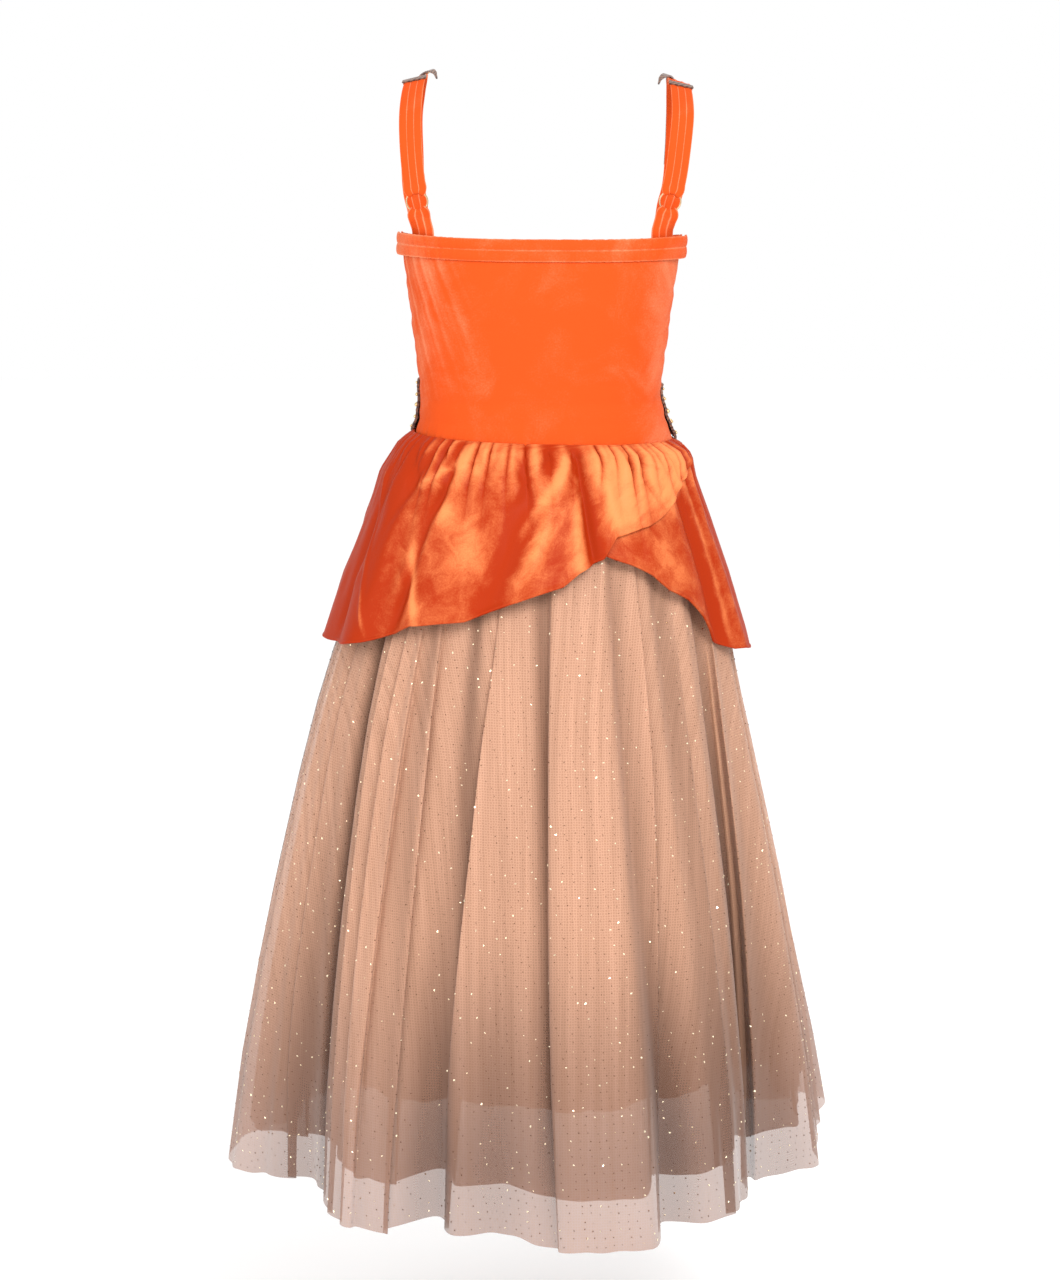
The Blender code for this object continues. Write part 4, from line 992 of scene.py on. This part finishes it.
columns = 25
for side, strap in straps.items():
    upper = np.linspace(strap.seam - 0.00015 - RING_MIDDLE, 0.014, 46)
    path = np.concatenate([np.stack([upper, np.full(46, STRAP_LIFT)], axis=1), ring_fold(0.014)])
    along, across, out, part = fold_places(path, columns)
    strap_cloth("velvet_strap_back_" + side, "strap_back_" + side, strap.at(along, across, out), part)

    foot = np.linspace(0.044, 0.014, 20)
    path = np.concatenate([np.stack([foot, np.full(20, STRAP_LIFT)], axis=1), ring_fold(0.012)])
    along, across, out, part = fold_places(path, columns)
    height = STRAP_ROUTES[side][0, 2] - along
    tucked = soft_step(height, -0.112, -0.128)[..., None]
    inset = VELVET_THICK / 2 + 0.0010 + STRAP_THICK / 2 + STRAP_LIFT - out
    behind = panel_inside("back", TAB_FOOT_X[side] + across, height, inset)
    strap_cloth("velvet_strap_tab_" + side, "strap_tab_" + side,
                strap.at(-along, across, out) * (1 - tucked) + behind * tucked, part)

    start = strap.seam + 0.00015
    along, part = np.meshgrid(np.linspace(start, strap.length[-1], 90), np.linspace(-1, 1, columns),
                              indexing="ij")
    half_wide = 0.0096 + 0.0010 * (1 - soft_step(along, start, start + 0.02))
    middle = strap.at(along, half_wide * part, np.full(along.shape, STRAP_LIFT))
    ruched = 0.0006 * np.cos((along - start) * 1500) * np.exp(-(along - start) / 0.012)
    middle = middle + normals_of(middle) * ruched[..., None]
    tucked = soft_step(middle[..., 2], -0.098, -0.122) * soft_step(along, start + 0.03, start + 0.05)
    tucked = tucked[..., None]
    centre = middle[:, columns // 2, 0][:, None]
    behind = panel_inside("front", centre + (middle[..., 0] - centre) * 0.70, middle[..., 2],
                          VELVET_THICK / 2 + 0.0010 + STRAP_THICK / 2)
    strap_cloth("velvet_strap_front_" + side, "strap_front_" + side,
                middle * (1 - tucked) + behind * tucked, part)

# %% [markdown]
# ## The rings
# The rings are bent wire, plated pale gold and polished. A ring is a circle of 8.8 mm carried round by a
# wire circle of 0.7 mm, in the plane of the strap: along = (8.8 + 0.7 cos b) cos a, across = (8.8 + 0.7 cos
# b) sin a, out = 0.7 sin b.

# %% Ring metal and shape
ring_metal = metal_material("zinc_alloy_plated_pale_gold", "#C9A680", 0.20)
RING_STEPS, WIRE_STEPS = 72, 14
for side, strap in straps.items():
    round_ring, round_wire = np.meshgrid(np.linspace(0, 2 * np.pi, RING_STEPS, endpoint=False),
                                         np.linspace(0, 2 * np.pi, WIRE_STEPS, endpoint=False),
                                         indexing="ij")
    reach = RING_MIDDLE + RING_WIRE * np.cos(round_wire)
    points = strap.at(reach * np.cos(round_ring), reach * np.sin(round_ring), RING_WIRE * np.sin(round_wire))
    place = np.arange(RING_STEPS * WIRE_STEPS).reshape(RING_STEPS, WIRE_STEPS)
    after, beside = np.roll(place, -1, axis=0), np.roll(place, -1, axis=1)
    faces = np.stack([place, beside, np.roll(after, -1, axis=1), after], axis=-1).reshape(-1, 4)
    ring = put_mesh("metal_ring_" + side, points.reshape(-1, 3), faces, ring_metal)
    corners = points.reshape(-1, 3)[faces]
    if np.einsum("ij,ij->i", corners[:, 0], np.cross(corners[:, 1], corners[:, 2])).sum() < 0:
        ring.data.flip_normals()
    declare(ring, "ring_metal", "ring_" + side)

# %% [markdown]
# ## Dark beaded braid
# Braid of dark brown cord with small gold beads trims the front: a broad band over the waist, a narrow one
# down each strap by the neck, and a short piece over each shoulder seam. The band is a grid with crossing
# ridges for the plaited cord, and the beads are small balls set in rows on it.

# %% Braid and beads
def braid_material():
    made, tree = new_material("rayon_braid_plaited_dark")
    uv = add_node(tree, "ShaderNodeUVMap", uv_map="cloth").outputs["UV"]
    plait = add_node(tree, "ShaderNodeTexWave", {
        "Vector": uv, "Scale": 130.0, "Distortion": 3.0, "Detail": 2.0,
    }, bands_direction="DIAGONAL").outputs["Fac"]
    colour = add_node(tree, "ShaderNodeMix", {
        0: plait, 6: linear("#3A2118"), 7: linear("#7A5540"),
    }, data_type="RGBA").outputs[2]
    finish_material(tree, add_node(tree, "ShaderNodeBsdfPrincipled", {
        "Base Color": colour, "Roughness": 0.5, "Sheen Weight": 0.3,
    }))
    return made


# Twisted artificial silk: dark, with a dull glint on each cord.
braid = braid_material()
# Metal coated glass: small bright points.
bead_gold = metal_material("glass_bead_metal_coated_gold", "#E8C48C", 0.20)


def beads(name, centres, radius):
    """Small balls: six meridians and five rings, placed at each centre."""
    polar, round_ball = np.meshgrid(np.linspace(0.0, np.pi, 5), np.linspace(0, 2 * np.pi, 6, endpoint=False),
                                    indexing="ij")
    reach = np.sin(polar)
    ball = np.stack([reach * np.cos(round_ball), reach * np.sin(round_ball), np.cos(polar)], axis=-1)
    ball = np.concatenate([ball[0, :1], ball[1:-1].reshape(-1, 3), ball[-1, :1]])
    ring = np.arange(6)
    after = (ring + 1) % 6
    faces = [np.stack([0 * ring, 1 + ring, 1 + after], axis=-1)]
    for level in range(2):
        low, high = 1 + 6 * level, 7 + 6 * level
        faces += [np.stack([low + ring, high + ring, high + after], axis=-1),
                  np.stack([low + ring, high + after, low + after], axis=-1)]
    faces.append(np.stack([13 + ring, 0 * ring + 19, 13 + after], axis=-1))
    faces = np.concatenate(faces)
    points = centres[:, None] + ball[None] * np.broadcast_to(radius, len(centres))[:, None, None]
    every = (faces[None] + np.arange(len(centres))[:, None, None] * len(ball)).reshape(-1, 3)
    piece = put_mesh(name, points.reshape(-1, 3), every, bead_gold)
    return declare(piece, "braid")


def plaited(middle, pitch, deep):
    """Crossing cords: the product of two slanting waves, added along the normal."""
    uv = cloth_uv(middle)
    turn = 2 * np.pi / pitch
    wave = np.cos((uv[..., 0] + uv[..., 1]) * turn) * np.cos((uv[..., 0] - uv[..., 1]) * turn)
    return middle + normals_of(middle) * (deep * wave)[..., None]


BAND_THICK = 0.0018
BRAID_THICK = 0.0012
BAND_FLARE = 0.0026
# The waist band lies on the front panel from 0.728 of its height down to the seam and stands off below.
BAND_TOP = 0.728
band_drops = np.linspace(BAND_TOP, 1.0, 34)
band_panel, _, _ = bodice_grid("front", front_top_height, band_drops, 301)
band_middle = on_panel(band_panel, 0.0022)
flare = np.linspace(0, 1, 34)[:, None] ** 2 * BAND_FLARE
band_middle = band_middle + normals_of(band_middle) * flare[..., None]
band = shell("braid_waist_band", plaited(band_middle, 0.0046, 0.0004), BAND_THICK, braid)
band_out = band_middle + normals_of(band_middle) * 0.0014
# row of the band's grid, step between beads, bead radius
band_rows = [(3, 4, 0.0011), (10, 8, 0.0015), (17, 6, 0.0019), (24, 8, 0.0015), (31, 4, 0.0011)]
band_beads = np.concatenate([band_out[row, 2:-2:step] for row, step, _ in band_rows])
band_radii = np.concatenate([np.full(len(band_out[row, 2:-2:step]), radius)
                             for row, step, radius in band_rows])
waist_beads = beads("waist_band_beads", band_beads, band_radii)
declare_cloth(band, "braid", ["waist_trim"])

# distance past the shoulder seam, distance in from the strap's middle, distance out, half width
NECK_TRIM_ROWS = np.array([
    (-0.0020, 0.0190, 0.0000, 0.0005), (0.0040, 0.0176, 0.0012, 0.0015), (0.0100, 0.0150, 0.0026, 0.0026),
    (0.0200, 0.0110, 0.0027, 0.0032), (0.0320, 0.0075, 0.0027, 0.0035), (0.0500, 0.0065, 0.0026, 0.0035),
    (0.1250, 0.0065, 0.0026, 0.0035),
])
# On the left strap it lies further from the neck, once it is down in front.
NECK_TRIM_SHIFT = {"left": 0.0025, "right": 0.0}
for side, strap in straps.items():
    along, across = np.meshgrid(np.linspace(strap.seam - 0.0028, strap.seam + 0.0028, 9),
                                np.linspace(-1, 1, 41) * 0.0104, indexing="ij")
    middle = strap.at(along, across, np.full(along.shape, STRAP_LIFT + STRAP_THICK / 2 + 0.0013))
    piece = shell("braid_shoulder_" + side, plaited(middle, 0.0030, 0.0002), BRAID_THICK, braid)
    declare(piece, "braid", "shoulder_braid_" + side)
    bead_row = (middle + normals_of(middle) * 0.0008)[4, 2::4]
    beads("shoulder_beads_" + side, bead_row, 0.0008)

    past = np.linspace(NECK_TRIM_ROWS[0, 0], NECK_TRIM_ROWS[-1, 0], 120)
    trim_sizes = [np.interp(past, NECK_TRIM_ROWS[:, 0], NECK_TRIM_ROWS[:, k]) for k in (1, 2, 3)]
    inward, out, half = (size[:, None] for size in trim_sizes)
    inward = inward - NECK_TRIM_SHIFT[side] * soft_step(past, 0.010, 0.032)[:, None]
    across = strap.inner * inward + half * np.linspace(-1, 1, 9)[None, :]
    along, across, out = np.broadcast_arrays(strap.seam + past[:, None], across, out)
    middle = strap.at(along, across, out)
    piece = shell("braid_neck_" + side, plaited(middle, 0.0040, 0.00025), BRAID_THICK, braid)
    declare(piece, "braid", "neck_trim_" + side)
    beads("neck_beads_" + side, (middle + normals_of(middle) * 0.0009)[14::5, 4], 0.0011)
declare_cloth(bodice_front, "velvet", ["bodice_front"])

# %% [markdown]
# ## Floor, light and camera
# The dress was photographed against white from 2.6 m away and a little above its middle, looking 9 degrees
# down. The world is plain white, which lights the cloth from all round, and two large soft lamps in front
# give the folds their lights and shadows: the strong one stands high at the right, the weak one low at the
# left. The floor is plain and pale, below the hem.

# %% Floor
floor_material, floor_tree = new_material("floor_painted_white")
finish_material(floor_tree, add_node(floor_tree, "ShaderNodeBsdfPrincipled", {
    "Base Color": linear("#FFFFFF"), "Roughness": 1.0, "Specular IOR Level": 0.0,
}))
FLOOR_HEIGHT = -1.16
FLOOR_HALF = 12.0
floor_corners = np.array([(-1, -1), (1, -1), (1, 1), (-1, 1)]) * FLOOR_HALF
floor_points = np.column_stack([floor_corners, np.full(4, FLOOR_HEIGHT)])
floor = put_mesh("floor", floor_points, np.array([[0, 1, 2, 3]]), floor_material)

# %% World and lamps
world = bpy.data.worlds.new("white_studio")
bpy.context.scene.world = world
world.use_nodes = True
world.node_tree.nodes["Background"].inputs["Color"].default_value = (1.0, 1.0, 1.0, 1.0)
world.node_tree.nodes["Background"].inputs["Strength"].default_value = 1.0
bpy.context.scene.view_settings.view_transform = "Standard"


def soft_lamp(name, place, aim, size, watts):
    """A square area lamp at a place, turned to look at the aim."""
    lamp = bpy.data.lights.new(name, "AREA")
    lamp.size, lamp.energy = size, watts
    made = bpy.data.objects.new(name, lamp)
    made.location = place
    direction = Vector(aim) - Vector(place)
    made.rotation_euler = direction.to_track_quat("-Z", "Y").to_euler()
    bpy.context.scene.collection.objects.link(made)


soft_lamp("key_lamp", (0.9, -2.2, 1.2), (0, 0, -0.40), 1.2, 66)
soft_lamp("fill_lamp", (-1.9, -1.7, 0.3), (0, 0, -0.55), 1.6, 22)

# %% Camera
camera = bpy.data.objects.new("camera", bpy.data.cameras.new("camera"))
camera.data.lens = 85
camera.data.sensor_width = 36
camera.location = (-0.0095, -2.6, -0.0565)
camera.rotation_euler = (np.radians(80.7712), 0.0, 0.0)
bpy.context.scene.collection.objects.link(camera)
bpy.context.scene.camera = camera
